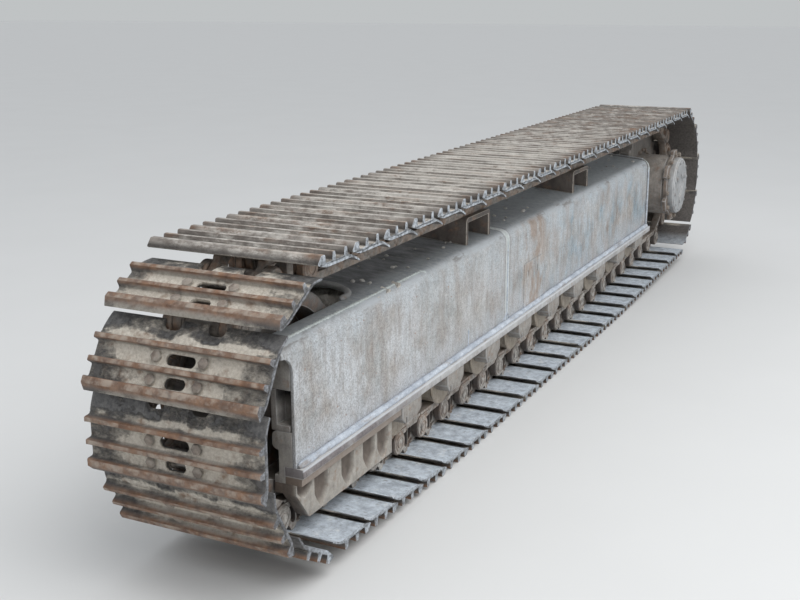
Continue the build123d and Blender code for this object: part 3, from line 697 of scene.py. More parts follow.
    # Painted light: the cut ends are painted lit on the top run and near the ground, and shaded round the
    # wheels.
    bright_at = patches(tree, 0.014, detail=9, low=0.36, high=0.60, rough=0.72, shift=(7, 3, 3))
    lit_cut_end = layer(tree, (0.14, 0.145, 0.155), (0.58, 0.63, 0.68), bright_at)
    dull_at = patches(tree, 0.012, detail=9, low=0.42, high=0.66, rough=0.72, shift=(7, 3, 3))
    shaded_cut_end = layer(tree, (0.10, 0.10, 0.105), (0.34, 0.355, 0.38), dull_at)
    cut = layer(tree, shaded_cut_end, lit_cut_end, sum_of(tree, "MAXIMUM", band(tree, "Z", *TOP_ENDS_Z), ground_run))
    ends = reading(tree, attribute(tree, "end"), 0.3, 0.7)
    colour = layer(tree, colour, cut, times(tree, ends, 0.9))

    fine = patches(tree, 0.004, detail=4, low=0.2, high=0.8)
    lumps = patches(tree, 0.022, detail=9, low=0.2, high=0.8, rough=0.7, shift=(8, 8, 0))
    relief(tree, shader, (fine, 0.0009), (times(tree, lumps, mud), 0.010), (mud, 0.0008))
    paint(tree, shader, colour, mixed(tree, 0.60, 0.95, mud), mixed(tree, 0.30, 0.0, mud))
    return made


shoe_mesh = with_slots(one_shoe())
bolts = [
    hex_bolt(across=0.030, height=0.013, place=(-s, side * BOLT_Y, BOLT_SEAT), washer=1.1)
    for s in BOLT_S for side in (-1, 1)
]
shoe_mesh = joined("shoe", [shoe_mesh] + bolts)

# What the finish reads: the height over the seat, the rear lip, and the two cut ends.
LOWEST_RISE, LIP_X, CUT_END_Y = 0.0065, 0.130, 0.2995
rise = shoe_mesh.attributes.new("rise", "FLOAT", "POINT")
lip = shoe_mesh.attributes.new("lip", "FLOAT", "POINT")
end = shoe_mesh.attributes.new("end", "FLOAT", "POINT")
for index, vertex in enumerate(shoe_mesh.vertices):
    rise.data[index].value = max(vertex.co.z, LOWEST_RISE) if over_lip(vertex.co) else vertex.co.z
    lip.data[index].value = 1.0 if vertex.co.x > LIP_X else 0.0
    end.data[index].value = 1.0 if abs(vertex.co.y) > CUT_END_Y else 0.0
SHOE_FINISH = shoe_finish()
shoes = repeated("track_shoes_worn", chain_places(), shoe_mesh, 11, SHOE_FINISH, height=PIN_TO_SEAT)
add_piece("track_shoes_worn", shoes, SHOE_FINISH, 40, node="track_shoes")


# Side links: forged steel, each with a round boss for the pin at the rear, an eye for the
# # bushing at the front, a rail on the wheels' side and two windows. The outer faces are
# # dusty and the rails rusty with a rubbed top; on the bottom run the faces that look
# # forwards, the eyes' among them, are darkened as painted shade.
PIN_TO_RAIL = 0.054
LINK_HALF = 0.0125
INNER_EYE_Y, OUTER_EYE_Y = 0.0805, 0.1095
STEP_FROM, STEP_LENGTH = -0.050, 0.095
RAIL_Y, RAIL_HALF = 0.0960, 0.0215


def link_middle(s):
    """How far the link's middle lies from the chain's middle plane."""
    t = min(max((STEP_FROM - s) / STEP_LENGTH, 0.0), 1.0)
    return INNER_EYE_Y + (OUTER_EYE_Y - INNER_EYE_Y) * t * t * (3 - 2 * t)


def rounded(points, radius, steps=5):
    """An outline with its corners cut round."""
    made = []
    count = len(points)
    for number in range(count):
        before, corner, after = (Vector(points[(number + shift) % count]) for shift in (-1, 0, 1))
        reach = min(radius, (before - corner).length * 0.45, (after - corner).length * 0.45)
        first = corner + (before - corner).normalized() * reach
        last = corner + (after - corner).normalized() * reach
        for step in range(steps + 1):
            t = step / steps
            made.append(first * (1 - t) ** 2 + corner * 2 * t * (1 - t) + last * t ** 2)
    return made


def plate_of(name, outlines, half, edge):
    """A flat plate with holes and eased edges, x and y from the outlines, half its thickness."""
    curve = bpy.data.curves.new(name, "CURVE")
    curve.dimensions = "2D"
    curve.fill_mode = "BOTH"
    curve.extrude = half - edge
    curve.bevel_depth = edge
    curve.bevel_resolution = 1
    curve.offset = -edge
    for outline in outlines:
        spline = curve.splines.new("POLY")
        spline.points.add(len(outline) - 1)
        for point, (x, y) in zip(spline.points, outline):
            point.co = (x, y, 0, 1)
        spline.use_cyclic_u = True
    return evaluated(link_object(name, curve), name)


def round_bar(radius, y_from, y_to, x, segments, edge, inner=0.0):
    """A bar or ring across the track at the pins' height, with chamfered ends."""
    rows = [(inner, y_from), (radius - edge, y_from), (radius, y_from + edge), (radius, y_to - edge),
            (radius - edge, y_to), (inner, y_to)]
    points, faces = [], []
    for step in range(segments):
        angle = 2 * math.pi * step / segments
        points += [(x + r * math.cos(angle), y, r * math.sin(angle)) for r, y in rows]
    count = len(rows)
    for step in range(segments):
        base, after = step * count, (step + 1) % segments * count
        for row in range(count if inner else count - 1):
            side = (row + 1) % count
            faces.append((base + row, base + side, after + side, after + row))
    return mesh_of("bar", points, faces)


# The link's outlines, s ahead of its front pin and h over it, and its round forms: boss,
# eye, seal ring and pin's end, each by radius, y from and to, x, segments, edge and bore.
LINK_BODY = [
    (0.034, 0.006), (0.024, -0.028), (0.010, -0.044), (-0.216, -0.044), (-0.230, -0.028), (-0.236, 0.010),
    (-0.222, 0.030), (-0.200, 0.036), (-0.172, 0.034), (-0.158, 0.048), (-0.152, 0.0615),
    (0.000, 0.0615), (0.004, 0.048), (0.026, 0.026),
]
REAR_WINDOW = [(-0.170, -0.022), (-0.116, -0.024), (-0.116, 0.040), (-0.146, 0.036), (-0.166, 0.010)]
FRONT_WINDOW = [
    (-0.094, -0.024), (-0.048, -0.022), (-0.038, 0.010), (-0.044, 0.034), (-0.060, 0.042), (-0.094, 0.042),
]
LINK_RAIL = [
    (-0.0015, -PIN_TO_RAIL), (0.0015 - PITCH, -PIN_TO_RAIL), (-0.006 - PITCH, -0.026), (-0.009, -0.026),
]
LINK_ROUNDS = [
    (0.0455, 0.0955, 0.1275, PITCH, 32, 0.005, 0.0),
    (0.0365, 0.0655, 0.0948, 0.0, 28, 0.003, 0.0),
    (0.0300, 0.1270, 0.1290, PITCH, 28, 0.0008, 0.0240),
    (0.0195, 0.1240, 0.1300, PITCH, 24, 0.0025, 0.0),
]
NUT_S, NUT_Z = -0.080, 0.060


def one_side_link(side):
    """One side link, side -1 or 1 across the track, with its plate bent over to its outer eye."""
    outlines = [rounded([(-s, z) for s, z in LINK_BODY], 0.014)]
    outlines += [rounded([(-s, z) for s, z in window], 0.010) for window in (REAR_WINDOW, FRONT_WINDOW)]
    plate = plate_of("side_link", outlines, LINK_HALF, 0.002)
    bar = plate_of("rail", [rounded([(-s, z) for s, z in LINK_RAIL], 0.004, 3)], RAIL_HALF, 0.003)
    meshes = [plate, bar]
    for mesh in meshes:
        work = bmesh.new()
        work.from_mesh(mesh)
        long = [e for e in work.edges if abs(e.verts[0].co.x - e.verts[1].co.x) > 0.02]
        bmesh.ops.subdivide_edges(work, edges=long, cuts=5)
        bmesh.ops.triangulate(work, faces=[f for f in work.faces if len(f.verts) > 4])
        for vert in work.verts:
            across, up = vert.co.z, vert.co.y
            middle = RAIL_Y if mesh is bar else link_middle(-vert.co.x)
            vert.co = (vert.co.x, side * (middle + across), up)
        bmesh.ops.recalc_face_normals(work, faces=work.faces)
        work.to_mesh(mesh)
        work.free()
    for radius, y_from, y_to, x, segments, edge, inner in LINK_ROUNDS:
        meshes.append(round_bar(radius, *sorted((side * y_from, side * y_to)), x, segments, edge, inner))
    nut_place = (-NUT_S, side * link_middle(NUT_S), NUT_Z)
    meshes.append(hex_bolt(across=0.030, height=0.018, place=nut_place, turn=Matrix.Rotation(math.pi, 4, "X")))
    return joined("side_link", meshes)


LOW_RUN_Z = (0.34, 0.20)


def link_finish():
    made, tree, shader = finish_of("link_steel")
    tone = attribute(tree, "tone")
    steel = layer(tree, (0.085, 0.072, 0.064), (0.175, 0.148, 0.128), patches(tree, 0.035))
    rust = layer(tree, (0.19, 0.105, 0.062), (0.31, 0.19, 0.115), patches(tree, 0.02, shift=(4, 4, 1)))
    colour = layer(tree, steel, rust, patches(tree, 0.06, low=0.42, high=0.60, shift=(1, 9, 2)))
    outward = reading(tree, sum_of(tree, "ABSOLUTE", facing(tree, "Y"), 0), 0.5, 0.9)
    low_run = band(tree, "Z", *LOW_RUN_Z)
    dust_field = patches(tree, 0.03, detail=8, low=0.25, high=0.62, shift=(2, 7, 5))
    grains = patches(tree, 0.012, detail=9, rough=0.7, shift=(6, 1, 1))
    dust_colour = layer(tree, (0.30, 0.28, 0.25), (0.66, 0.63, 0.58), grains)
    dust = times(tree, mixed(tree, 0.30, 1.0, outward), dust_field)
    dust = times(tree, dust, mixed(tree, 0.50, 0.97, low_run))
    colour = layer(tree, colour, dust_colour, dust)
    # Painted shade: faces that look forwards are darkened on the bottom run.
    painted_front_shade = times(tree, reading(tree, times(tree, facing(tree, "X"), -1.0), 0.25, 0.75), low_run)
    colour = layer(tree, colour, (0.075, 0.066, 0.062), times(tree, painted_front_shade, 0.80))
    rubbed = times(tree, attribute(tree, "rail"), patches(tree, 0.03, low=0.3, high=0.5))
    colour = layer(tree, colour, (0.36, 0.31, 0.27), rubbed)
    darker = times(tree, mixed(tree, 0.0, 0.5, tone), patches(tree, 0.1, shift=(3, 3, 8)))
    colour = layer(tree, colour, (0.13, 0.105, 0.09), darker)
    fine = patches(tree, 0.003, detail=4, low=0.2, high=0.8)
    relief(tree, shader, (fine, 0.0006), (dust_field, 0.0012))
    paint(tree, shader, colour, mixed(tree, 0.55, 0.92, dust), mixed(tree, 0.4, 0.0, dust))
    return made


link_mesh = joined("links", [one_side_link(-1), one_side_link(1)])
rubbed_rail = link_mesh.attributes.new("rail", "FLOAT", "POINT")
for index, vertex in enumerate(link_mesh.vertices):
    rubbed_rail.data[index].value = 1.0 if vertex.co.z < 0.0005 - PIN_TO_RAIL else 0.0
LINK_FINISH = link_finish()
links = repeated("track_links_forged", chain_places(), link_mesh, 23, LINK_FINISH)
add_piece("track_links_forged", links, LINK_FINISH, 38, node="track_links")


# Pins and bushings: a round steel bushing between each pair of side links, with a seal
# ring at each end, dark and oily where the sprocket rubs it and dusty beside that.
BUSHING_RADIUS, BUSHING_HALF = 0.0285, 0.0640
SEAL_RADIUS, SEAL_FROM = 0.0330, 0.0575
RUBBED_BUSHING = (0.040, 0.028)


def pin_finish():
    made, tree, shader = finish_of("pin_steel")
    steel = layer(tree, (0.10, 0.085, 0.075), (0.21, 0.18, 0.155), patches(tree, 0.03))
    dusty = layer(tree, steel, (0.36, 0.32, 0.275), patches(tree, 0.05, low=0.45, high=0.65, shift=(1, 2, 6)))
    middle = reading(tree, from_middle(tree), *RUBBED_BUSHING)
    colour = layer(tree, dusty, (0.25, 0.235, 0.22), middle)
    fine = patches(tree, 0.004, detail=4, low=0.2, high=0.8)
    relief(tree, shader, (fine, 0.0004))
    paint(tree, shader, colour, mixed(tree, 0.6, 0.35, middle), mixed(tree, 0.3, 0.8, middle))
    return made


bushing_parts = [round_bar(BUSHING_RADIUS, -BUSHING_HALF, BUSHING_HALF, 0.0, segments=28, edge=0.002)]
for side in (-1, 1):
    across = sorted((side * SEAL_FROM, side * BUSHING_HALF))
    bushing_parts.append(round_bar(SEAL_RADIUS, *across, 0.0, segments=28, edge=0.001))
PIN_FINISH = pin_finish()
bushings = repeated("track_bushings", chain_places(), joined("bushing", bushing_parts), 5, PIN_FINISH)
add_piece("track_bushings", bushings, PIN_FINISH, 38, node="track_pins")


# Side frame, outer plate: one folded steel plate in worn grey paint. Brown and pale streaks
# run down it, its rear half has gone bluish, the roof is dark with dust and the edges are
# bare. Its loose CAD faces are merged and its edges eased.
SHARP_ANGLE = math.radians(30)


def softened(node, width):
    """A copy of a CAD piece with its faces merged and its edges eased and marked as worn."""
    work = bmesh.new()
    work.from_mesh(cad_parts[node].data)
    bmesh.ops.remove_doubles(work, verts=work.verts, dist=1e-5)
    bmesh.ops.dissolve_limit(work, angle_limit=math.radians(1), verts=work.verts, edges=work.edges)
    sharp = [edge for edge in work.edges if edge.is_manifold and edge.calc_face_angle() > SHARP_ANGLE]
    worn = work.faces.layers.float.new("worn")
    made = bmesh.ops.bevel(
        work, geom=sharp, offset=width, offset_type="OFFSET", segments=2, profile=0.5,
        affect="EDGES", clamp_overlap=True,
    )
    for face in made["faces"]:
        face[worn] = 1.0
    bmesh.ops.triangulate(work, faces=[face for face in work.faces if len(face.verts) > 4])
    mesh = bpy.data.meshes.new(node)
    work.to_mesh(mesh)
    work.free()
    return mesh


def dress(node, finish, width=0.002, mesh=None):
    """Puts the finished form of a CAD piece in place of its plain one."""
    add_piece(node + "_finished", mesh or softened(node, width), finish, node=node)


def edge_wear(tree, colour, bare):
    """Bare metal along the eased edges, in patches."""
    mask = times(tree, attribute(tree, "worn"), patches(tree, 0.03, low=0.30, high=0.48, shift=(8, 1, 3)))
    mask = times(tree, mask, 0.75)
    return layer(tree, colour, bare, mask), mask


# Where the frame's finish changes: x and heights of its zones, from the idler's axle and
# from the ground, and the seam where its plate is joined.
REARWARD_X, BRIGHT_FRONT_X, SMEAR_X = (-1.0, 0.3), (0.3, 1.2), (1.84, 1.90, 2.08, 2.20)
LOW_BAND_Z, HIGH_BAND_Z = (0.47, 0.34), (0.57, 0.69)
SEAM_HALF, SEAM_SHADE, SEAM_WANDER = (0.024, 0.015), (0.021, 0.025, 0.027, 0.034), 0.018
seam_x = idler_x + 1.660
frame_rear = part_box("frame_end_plate")[1].x


def frame_finish():
    made, tree, shader = finish_of("frame_paint")
    x, z, y = (place_along(tree, axis) for axis in "XZY")
    rearward = reading(tree, x, *REARWARD_X)

    # Worn grey paint, bluish in large patches and more so to the rear, warm where dust sticks.
    mottle = patches(tree, 0.022, stretch=(1, 1, 1.6), detail=10, low=0.34, high=0.64, rough=0.72)
    colour = layer(tree, (0.37, 0.36, 0.34), (0.59, 0.58, 0.56), mottle)
    blue_mottle = patches(tree, 0.03, stretch=(1, 1, 2.5), detail=9, shift=(3, 1, 4))
    blue = layer(tree, (0.21, 0.31, 0.38), (0.46, 0.57, 0.64), blue_mottle)
    blue_patches = patches(tree, 0.20, detail=9, low=0.40, high=0.56, shift=(7, 2, 2))
    colour = layer(tree, colour, blue, times(tree, mixed(tree, 0.22, 0.95, rearward), blue_patches))
    warm = patches(tree, 0.11, stretch=(1, 1, 1.7), detail=10, low=0.46, high=0.64, shift=(9, 3, 6))
    warm_tone = layer(tree, (0.25, 0.18, 0.135), (0.42, 0.32, 0.25), mottle)
    colour = layer(tree, colour, warm_tone, times(tree, warm, mixed(tree, 0.50, 0.80, rearward)))
    bright = patches(tree, 0.24, detail=8, low=0.44, high=0.58, shift=(12, 3, 1))
    bright_front = reading(tree, x, *(idler_x + at for at in BRIGHT_FRONT_X))
    colour = layer(tree, colour, (0.70, 0.73, 0.76), times(tree, bright, mixed(tree, 0.72, 0.42, bright_front)))

    # Brown and pale streaks that run down, a paler band at its foot, a pale bluish painted
    #     # highlight under its bend, and dark, light and rusty specks.
    brown = patches(tree, 0.030, stretch=(1, 1, 5), detail=9, low=0.48, high=0.64, rough=0.7, shift=(2, 5, 3))
    colour = layer(tree, colour, (0.27, 0.225, 0.19), times(tree, brown, 0.52))
    pale = patches(tree, 0.020, stretch=(1, 1, 6), detail=9, low=0.54, high=0.70, rough=0.7, shift=(5, 9, 1))
    colour = layer(tree, colour, (0.70, 0.70, 0.68), times(tree, pale, 0.50))
    low_patches = patches(tree, 0.05, stretch=(1, 1, 2), low=0.32, high=0.58, shift=(1, 4, 4))
    low_band = times(tree, reading(tree, z, *LOW_BAND_Z), low_patches)
    colour = layer(tree, colour, (0.58, 0.605, 0.64), times(tree, low_band, 0.75))
    # Painted highlight: a pale bluish band, in patches, along the top of the wall under the bend.
    high_patches = patches(tree, 0.07, stretch=(1, 1, 2), detail=9, low=0.30, high=0.56, shift=(3, 6, 1))
    painted_highlight_band = times(tree, reading(tree, z, *HIGH_BAND_Z), high_patches)
    colour = layer(tree, colour, (0.58, 0.65, 0.70), times(tree, painted_highlight_band, 0.42))
    specks = patches(tree, 0.0055, detail=6, low=0.46, high=0.62, rough=0.75)
    colour = layer(tree, colour, (0.16, 0.145, 0.135), times(tree, specks, 0.52))
    light_specks = patches(tree, 0.005, detail=6, low=0.54, high=0.64, rough=0.75, shift=(6, 2, 8))
    colour = layer(tree, colour, (0.72, 0.71, 0.69), times(tree, light_specks, 0.45))
    rust_spots = patches(tree, 0.015, detail=4, low=0.67, high=0.73, shift=(3, 3, 9))
    colour = layer(tree, colour, (0.33, 0.155, 0.075), times(tree, rust_spots, 0.8))

    # The roof is dark with dust under the chain and cleaner at its outer edge, and the bend
    #     # carries a pale painted highlight and is scuffed.
    upward = reading(tree, facing(tree, "Z"), 0.60, 0.95)
    roof_mottle = patches(tree, 0.035, stretch=(1, 2.5, 1), detail=10, rough=0.7)
    roof = layer(tree, (0.13, 0.132, 0.135), (0.27, 0.275, 0.28), roof_mottle)
    roof_dust = patches(
        tree, 0.05, stretch=(1, 3, 1), detail=11, low=0.55, high=0.72, rough=0.72, shift=(5, 1, 1),
    )
    roof = layer(tree, roof, (0.40, 0.385, 0.35), roof_dust)
    to_edge = sum_of(tree, "MAXIMUM", rearward, times(tree, reading(tree, y, -0.070, -0.125), 0.85))
    clean_roof = layer(tree, (0.30, 0.335, 0.355), (0.45, 0.475, 0.485), mottle)
    roof = layer(tree, roof, clean_roof, times(tree, to_edge, 0.80))
    colour = layer(tree, colour, roof, upward)
    bend = times(
        tree, reading(tree, facing(tree, "Z"), 0.25, 0.55), reading(tree, facing(tree, "Z"), 0.98, 0.80),
    )
    # Painted highlight: the bend is painted pale in patches where it faces up and out.
    painted_bend_highlight = times(tree, bend, patches(tree, 0.05, stretch=(3, 1, 1), detail=9, low=0.35, high=0.6))
    colour = layer(tree, colour, (0.50, 0.53, 0.55), painted_bend_highlight)
    scuffed = times(
        tree, bend, patches(tree, 0.03, stretch=(4, 1, 1), detail=9, low=0.54, high=0.62, shift=(2, 2, 2)),
    )
    colour = layer(tree, colour, (0.17, 0.145, 0.125), times(tree, scuffed, 0.6))

    # A primed strip along the seam with a dark rim of painted shade, painted shade in front of
    #     # the end weld where the end plate stands proud, and a brown smear behind the seam.
    wander = sum_of(tree, "SUBTRACT", patches(tree, 0.05, detail=5, low=0.0, high=1.0), 0.5, free=True)
    wander = times(tree, wander, SEAM_WANDER, free=True)
    off_seam = sum_of(tree, "ADD", sum_of(tree, "SUBTRACT", x, seam_x, free=True), wander, free=True)
    off_seam = sum_of(tree, "ABSOLUTE", off_seam, 0, free=True)
    on_roof = mixed(tree, 0.0, 0.05, reading(tree, y, -0.11, -0.05))
    off_seam = sum_of(tree, "ADD", off_seam, on_roof, free=True)
    primed = layer(tree, (0.50, 0.53, 0.52), (0.72, 0.75, 0.74), mottle)
    colour = layer(tree, colour, primed, times(tree, reading(tree, off_seam, *SEAM_HALF), 0.90))
    # Painted shade: a darker line along each side of the primed strip.
    shade_from, shade_full, shade_ends, shade_to = SEAM_SHADE
    shade = reading(tree, off_seam, shade_from, shade_full)
    shade = times(tree, shade, reading(tree, off_seam, shade_to, shade_ends))
    colour = layer(tree, colour, (0.15, 0.13, 0.12), times(tree, shade, 0.40))
    # Painted shade: dark in front of the end plate, which stands proud of the wall and roof.
    painted_end_shade = times(
        tree, reading(tree, x, frame_rear - 0.044, frame_rear - 0.036),
        reading(tree, x, frame_rear - 0.012, frame_rear - 0.016),
    )
    painted_end_shade = times(tree, painted_end_shade, reading(tree, y, 0.10, 0.08))
    colour = layer(tree, colour, (0.085, 0.070, 0.062), times(tree, painted_end_shade, 0.85))
    smear_from, smear_full, smear_ends, smear_to = (idler_x + at for at in SMEAR_X)
    smear = times(tree, reading(tree, x, smear_from, smear_full), reading(tree, x, smear_to, smear_ends))
    smear_patches = patches(tree, 0.07, stretch=(1, 1, 2), detail=9, low=0.44, high=0.56, shift=(6, 6, 4))
    smear = times(tree, times(tree, smear, smear_patches), mixed(tree, 0.75, 0.0, upward))
    colour = layer(tree, colour, warm_tone, smear)

    colour, bare = edge_wear(tree, colour, (0.60, 0.60, 0.60))
    waves = patches(tree, 0.30, detail=2, low=0.2, high=0.8, shift=(4, 4, 4))
    fine = patches(tree, 0.003, detail=4, low=0.2, high=0.8)
    relief(tree, shader, (waves, 0.008), (specks, 0.0008), (fine, 0.0003))
    rough = mixed(tree, mixed(tree, 0.55, 0.75, specks), 0.92, upward)
    paint(tree, shader, colour, rough, times(tree, bare, 0.5))
    return made


FRAME_FINISH = frame_finish()
for node in ("frame_outer_plate", "frame_inner_plate", "frame_end_plate"):
    dress(node, FRAME_FINISH, 0.0018)


# Weld beads on the side frame: along the bottom rails, down the seam where the plate is
# joined, on the front of the bend, at the end plate and round the stub beams' ends. Each is
# a round bead whose ripples lie a few millimetres apart, pale with dust.
low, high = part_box("frame_outer_plate")
wall_y, rail_top = low.y, low.z
frame_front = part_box("frame_bottom_rail_outer")[0].x
ROOF_EDGE_Z, BEND_RADIUS = 0.740, 0.046
wall_top = ROOF_EDGE_Z - BEND_RADIUS
ROOF_TILT = math.tan(math.radians(5.0))


def roof_z(y):
    """Height of the sloping roof over the ground."""
    return ROOF_EDGE_Z + (y - wall_y) * ROOF_TILT


def bead(points, radius, seed, step=0.0055, sides=8, ripple=0.16):
    """A weld bead along a line: a round section, swelling and shrinking with each ripple."""
    corners = [Vector(point) for point in points]
    places = [corners[0]]
    for start, stop in zip(corners, corners[1:]):
        parts = max(1, round((stop - start).length / step))
        places += [start.lerp(stop, (part + 1) / parts) for part in range(parts)]
    rings, faces = [], []
    for index, place in enumerate(places):
        behind, ahead = places[max(index - 1, 0)], places[min(index + 1, len(places) - 1)]
        along = (ahead - behind).normalized()
        aside = along.orthogonal().normalized() if index == 0 else (
            aside - along * aside.dot(along)
        ).normalized()
        above = along.cross(aside)
        swell = noise.noise(Vector((index * 0.21, seed * 7.3, 1.7))) * 0.22
        size = radius * (1 + ripple * math.sin(index * 1.9) + swell)
        size *= 0.4 if index in (0, len(places) - 1) else 1.0
        for side in range(sides):
            angle = 2 * math.pi * side / sides
            rings.append(place + (aside * math.cos(angle) + above * math.sin(angle)) * size)
    for index in range(len(places) - 1):
        for side in range(sides):
            base, after = index * sides, (side + 1) % sides
            faces.append((base + side, base + after, base + sides + after, base + sides + side))
    faces += [tuple(range(sides)), tuple(range(len(rings) - sides, len(rings)))]
    return mesh_of("bead", rings, faces)


def round_the_bend(x, turn_from, turn_to, steps=8):
    """Points on the outside of the bend, turned in degrees from the wall (0) to the roof (90)."""
    points = []
    for step in range(steps + 1):
        angle = math.radians(turn_from + (turn_to - turn_from) * step / steps)
        y, z = wall_y + BEND_RADIUS * (1 - math.cos(angle)), ROOF_EDGE_Z - BEND_RADIUS * (1 - math.sin(angle))
        points.append((x, y, z))
    return points


GREENISH_Z = (0.66, 0.70)


def weld_finish():
    made, tree, shader = finish_of("weld_steel")
    mottle = patches(tree, 0.03, stretch=(2, 1, 1), detail=9, low=0.30, high=0.62, rough=0.7)
    colour = layer(tree, (0.28, 0.32, 0.38), (0.58, 0.63, 0.69), mottle)
    green = band(tree, "Z", *GREENISH_Z)
    colour = layer(tree, colour, (0.60, 0.65, 0.61), times(tree, green, 0.8))
    dirty = patches(tree, 0.04, stretch=(3, 1, 1), detail=9, low=0.55, high=0.68, rough=0.7, shift=(3, 1, 1))
    colour = layer(tree, colour, (0.26, 0.21, 0.17), times(tree, dirty, 0.75))
    specks = patches(tree, 0.006, detail=6, low=0.48, high=0.64, rough=0.75, shift=(1, 7, 7))
    colour = layer(tree, colour, (0.20, 0.20, 0.21), times(tree, specks, 0.4))
    fine = patches(tree, 0.003, detail=4, low=0.2, high=0.8)
    relief(tree, shader, (fine, 0.0006))
    paint(tree, shader, colour, mixed(tree, 0.55, 0.9, fine))
    return made


RAIL_BEAD_OUT = 0.0070
END_BEAD_X = frame_rear - 0.014
BEND_WELD_END = idler_x + 0.84
SMALL_WELD_X = idler_x + 1.23
STUB_BEAD = 0.0065


def rail_bead(y, seed):
    """The thick bead in the corner between a bottom rail and its wall."""
    ends = [(x, y, rail_top + RAIL_BEAD_OUT) for x in (frame_front + 0.004, frame_rear - 0.02)]
    return bead(ends, 0.0125, seed, step=0.014, ripple=0.02)


def corners(first, second):
    """The corners of a rectangle, from its two ends along each way."""
    return [(first[0], second[0]), (first[1], second[0]), (first[1], second[1]), (first[0], second[1])]


_, bend_y, bend_z = round_the_bend(0.0, 70, 70, 1)[0]
beads = [
    rail_bead(wall_y - RAIL_BEAD_OUT, 1),
    bead([
        (frame_front + 0.01, bend_y, bend_z - 0.002), (BEND_WELD_END, bend_y, bend_z - 0.002),
        (BEND_WELD_END + 0.02, bend_y - 0.012, bend_z - 0.008),
    ], 0.0075, 2),
    bead(
        [(seam_x, wall_y, rail_top + 0.01), (seam_x, wall_y, wall_top)] + round_the_bend(seam_x, 0, 90)
        + [(seam_x, wall_y + 0.20, roof_z(wall_y + 0.20))], 0.0042, 3,
    ),
    bead(
        [(seam_x + x, wall_y, rail_top + z) for x, z in ((-0.035, 0.02), (0.0, 0.05), (0.03, 0.02))], 0.0040, 4,
    ),
    bead(
        [(SMALL_WELD_X, wall_y, rail_top + 0.012), (SMALL_WELD_X + 0.002, wall_y, rail_top + 0.085)], 0.0038, 5,
    ),
    bead(
        [(END_BEAD_X, wall_y, rail_top + 0.01), (END_BEAD_X, wall_y, wall_top)]
        + round_the_bend(END_BEAD_X, 0, 90), 0.0055, 6,
    ),
    rail_bead(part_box("frame_inner_plate")[1].y + RAIL_BEAD_OUT, 7),
]
for name in ("front", "rear"):
    low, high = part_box("chassis_stub_" + name)
    ring = corners((low.x, high.x), (low.z, high.z))
    for y, seed in ((low.y, 20), (high.y - 0.001, 21)):
        beads.append(bead([(x, y, z) for x, z in ring + ring[:1]], STUB_BEAD, seed))
add_piece("frame_weld_beads", joined("beads", beads), weld_finish(), 50)


# Cover patch on the outer wall: a thin plate tack-welded over a repair behind the seam,
# # with two small slots near its top.
PATCH_X, PATCH_Z = (1.870, 2.110), (0.345, 0.550)
PATCH_PLATE = 0.003
PATCH_SLOT_X, PATCH_SLOT_HALF, PATCH_SLOT_Z = (1.925, 2.045), 0.004, (0.480, 0.512)
patch_outlines = [rounded(corners(PATCH_X, PATCH_Z), 0.012)]
for x in PATCH_SLOT_X:
    patch_outlines.append(rounded(corners((x - PATCH_SLOT_HALF, x + PATCH_SLOT_HALF), PATCH_SLOT_Z), 0.004, 3))
patch_mesh = plate_of("patch", patch_outlines, PATCH_PLATE / 2, 0.0007)
for vertex in patch_mesh.vertices:
    vertex.co = (idler_x + vertex.co.x, wall_y - PATCH_PLATE / 2 - vertex.co.z, vertex.co.y)
add_piece("frame_patch_plate", patch_mesh, FRAME_FINISH)


# Lip of the roof's slot: a round bar bent round its rear end and welded on, dark with dirt.
# Its plainer worn steel is in two tones with brown streaks, rust, dust and bare edges.
def worn_layers(name, base, other, dust, dusty=0.5, rusty=0.3, bare=(0.45, 0.44, 0.43), size=0.06, gloss=0.55):
    made, tree, shader = finish_of(name)
    colour = layer(tree, base, other, patches(tree, size, detail=8))
    streaks = patches(tree, size * 0.35, stretch=(1, 1, 6), detail=8, low=0.48, high=0.68, shift=(2, 4, 1))
    colour = layer(tree, colour, tuple(part * 0.55 for part in base), times(tree, streaks, 0.6))
    rust = layer(tree, (0.15, 0.075, 0.042), (0.28, 0.16, 0.095), patches(tree, size * 0.3, shift=(6, 1, 1)))
    rust_at = patches(
        tree, size * 0.8, detail=8, low=0.66 - 0.25 * rusty, high=0.74 - 0.10 * rusty, shift=(4, 9, 2),
    )
    colour = layer(tree, colour, rust, times(tree, rust_at, 0.8))
    dust_field = patches(tree, size * 0.5, detail=10, low=0.30, high=0.68, rough=0.7, shift=(9, 2, 7))
    upward = reading(tree, facing(tree, "Z"), 0.1, 0.8)
    dust_at = times(tree, dust_field, mixed(tree, dusty, min(1.0, dusty + 0.45), upward))
    colour = layer(tree, colour, dust, dust_at)
    specks = patches(tree, 0.006, detail=5, low=0.42, high=0.66, rough=0.7)
    colour = layer(tree, colour, tuple(part * 0.5 for part in other), times(tree, specks, 0.35))
    colour, bared = edge_wear(tree, colour, bare)
    relief(tree, shader, (dust_field, 0.0012), (specks, 0.0006))
    paint(tree, shader, colour, mixed(tree, gloss, 0.93, dust_at), mixed(tree, 0.0, 0.5, bared))
    return made, tree, shader, colour


def worn_steel(name, *tones, **looks):
    """A worn steel finish with nothing further laid over it."""
    return worn_layers(name, *tones, **looks)[0]


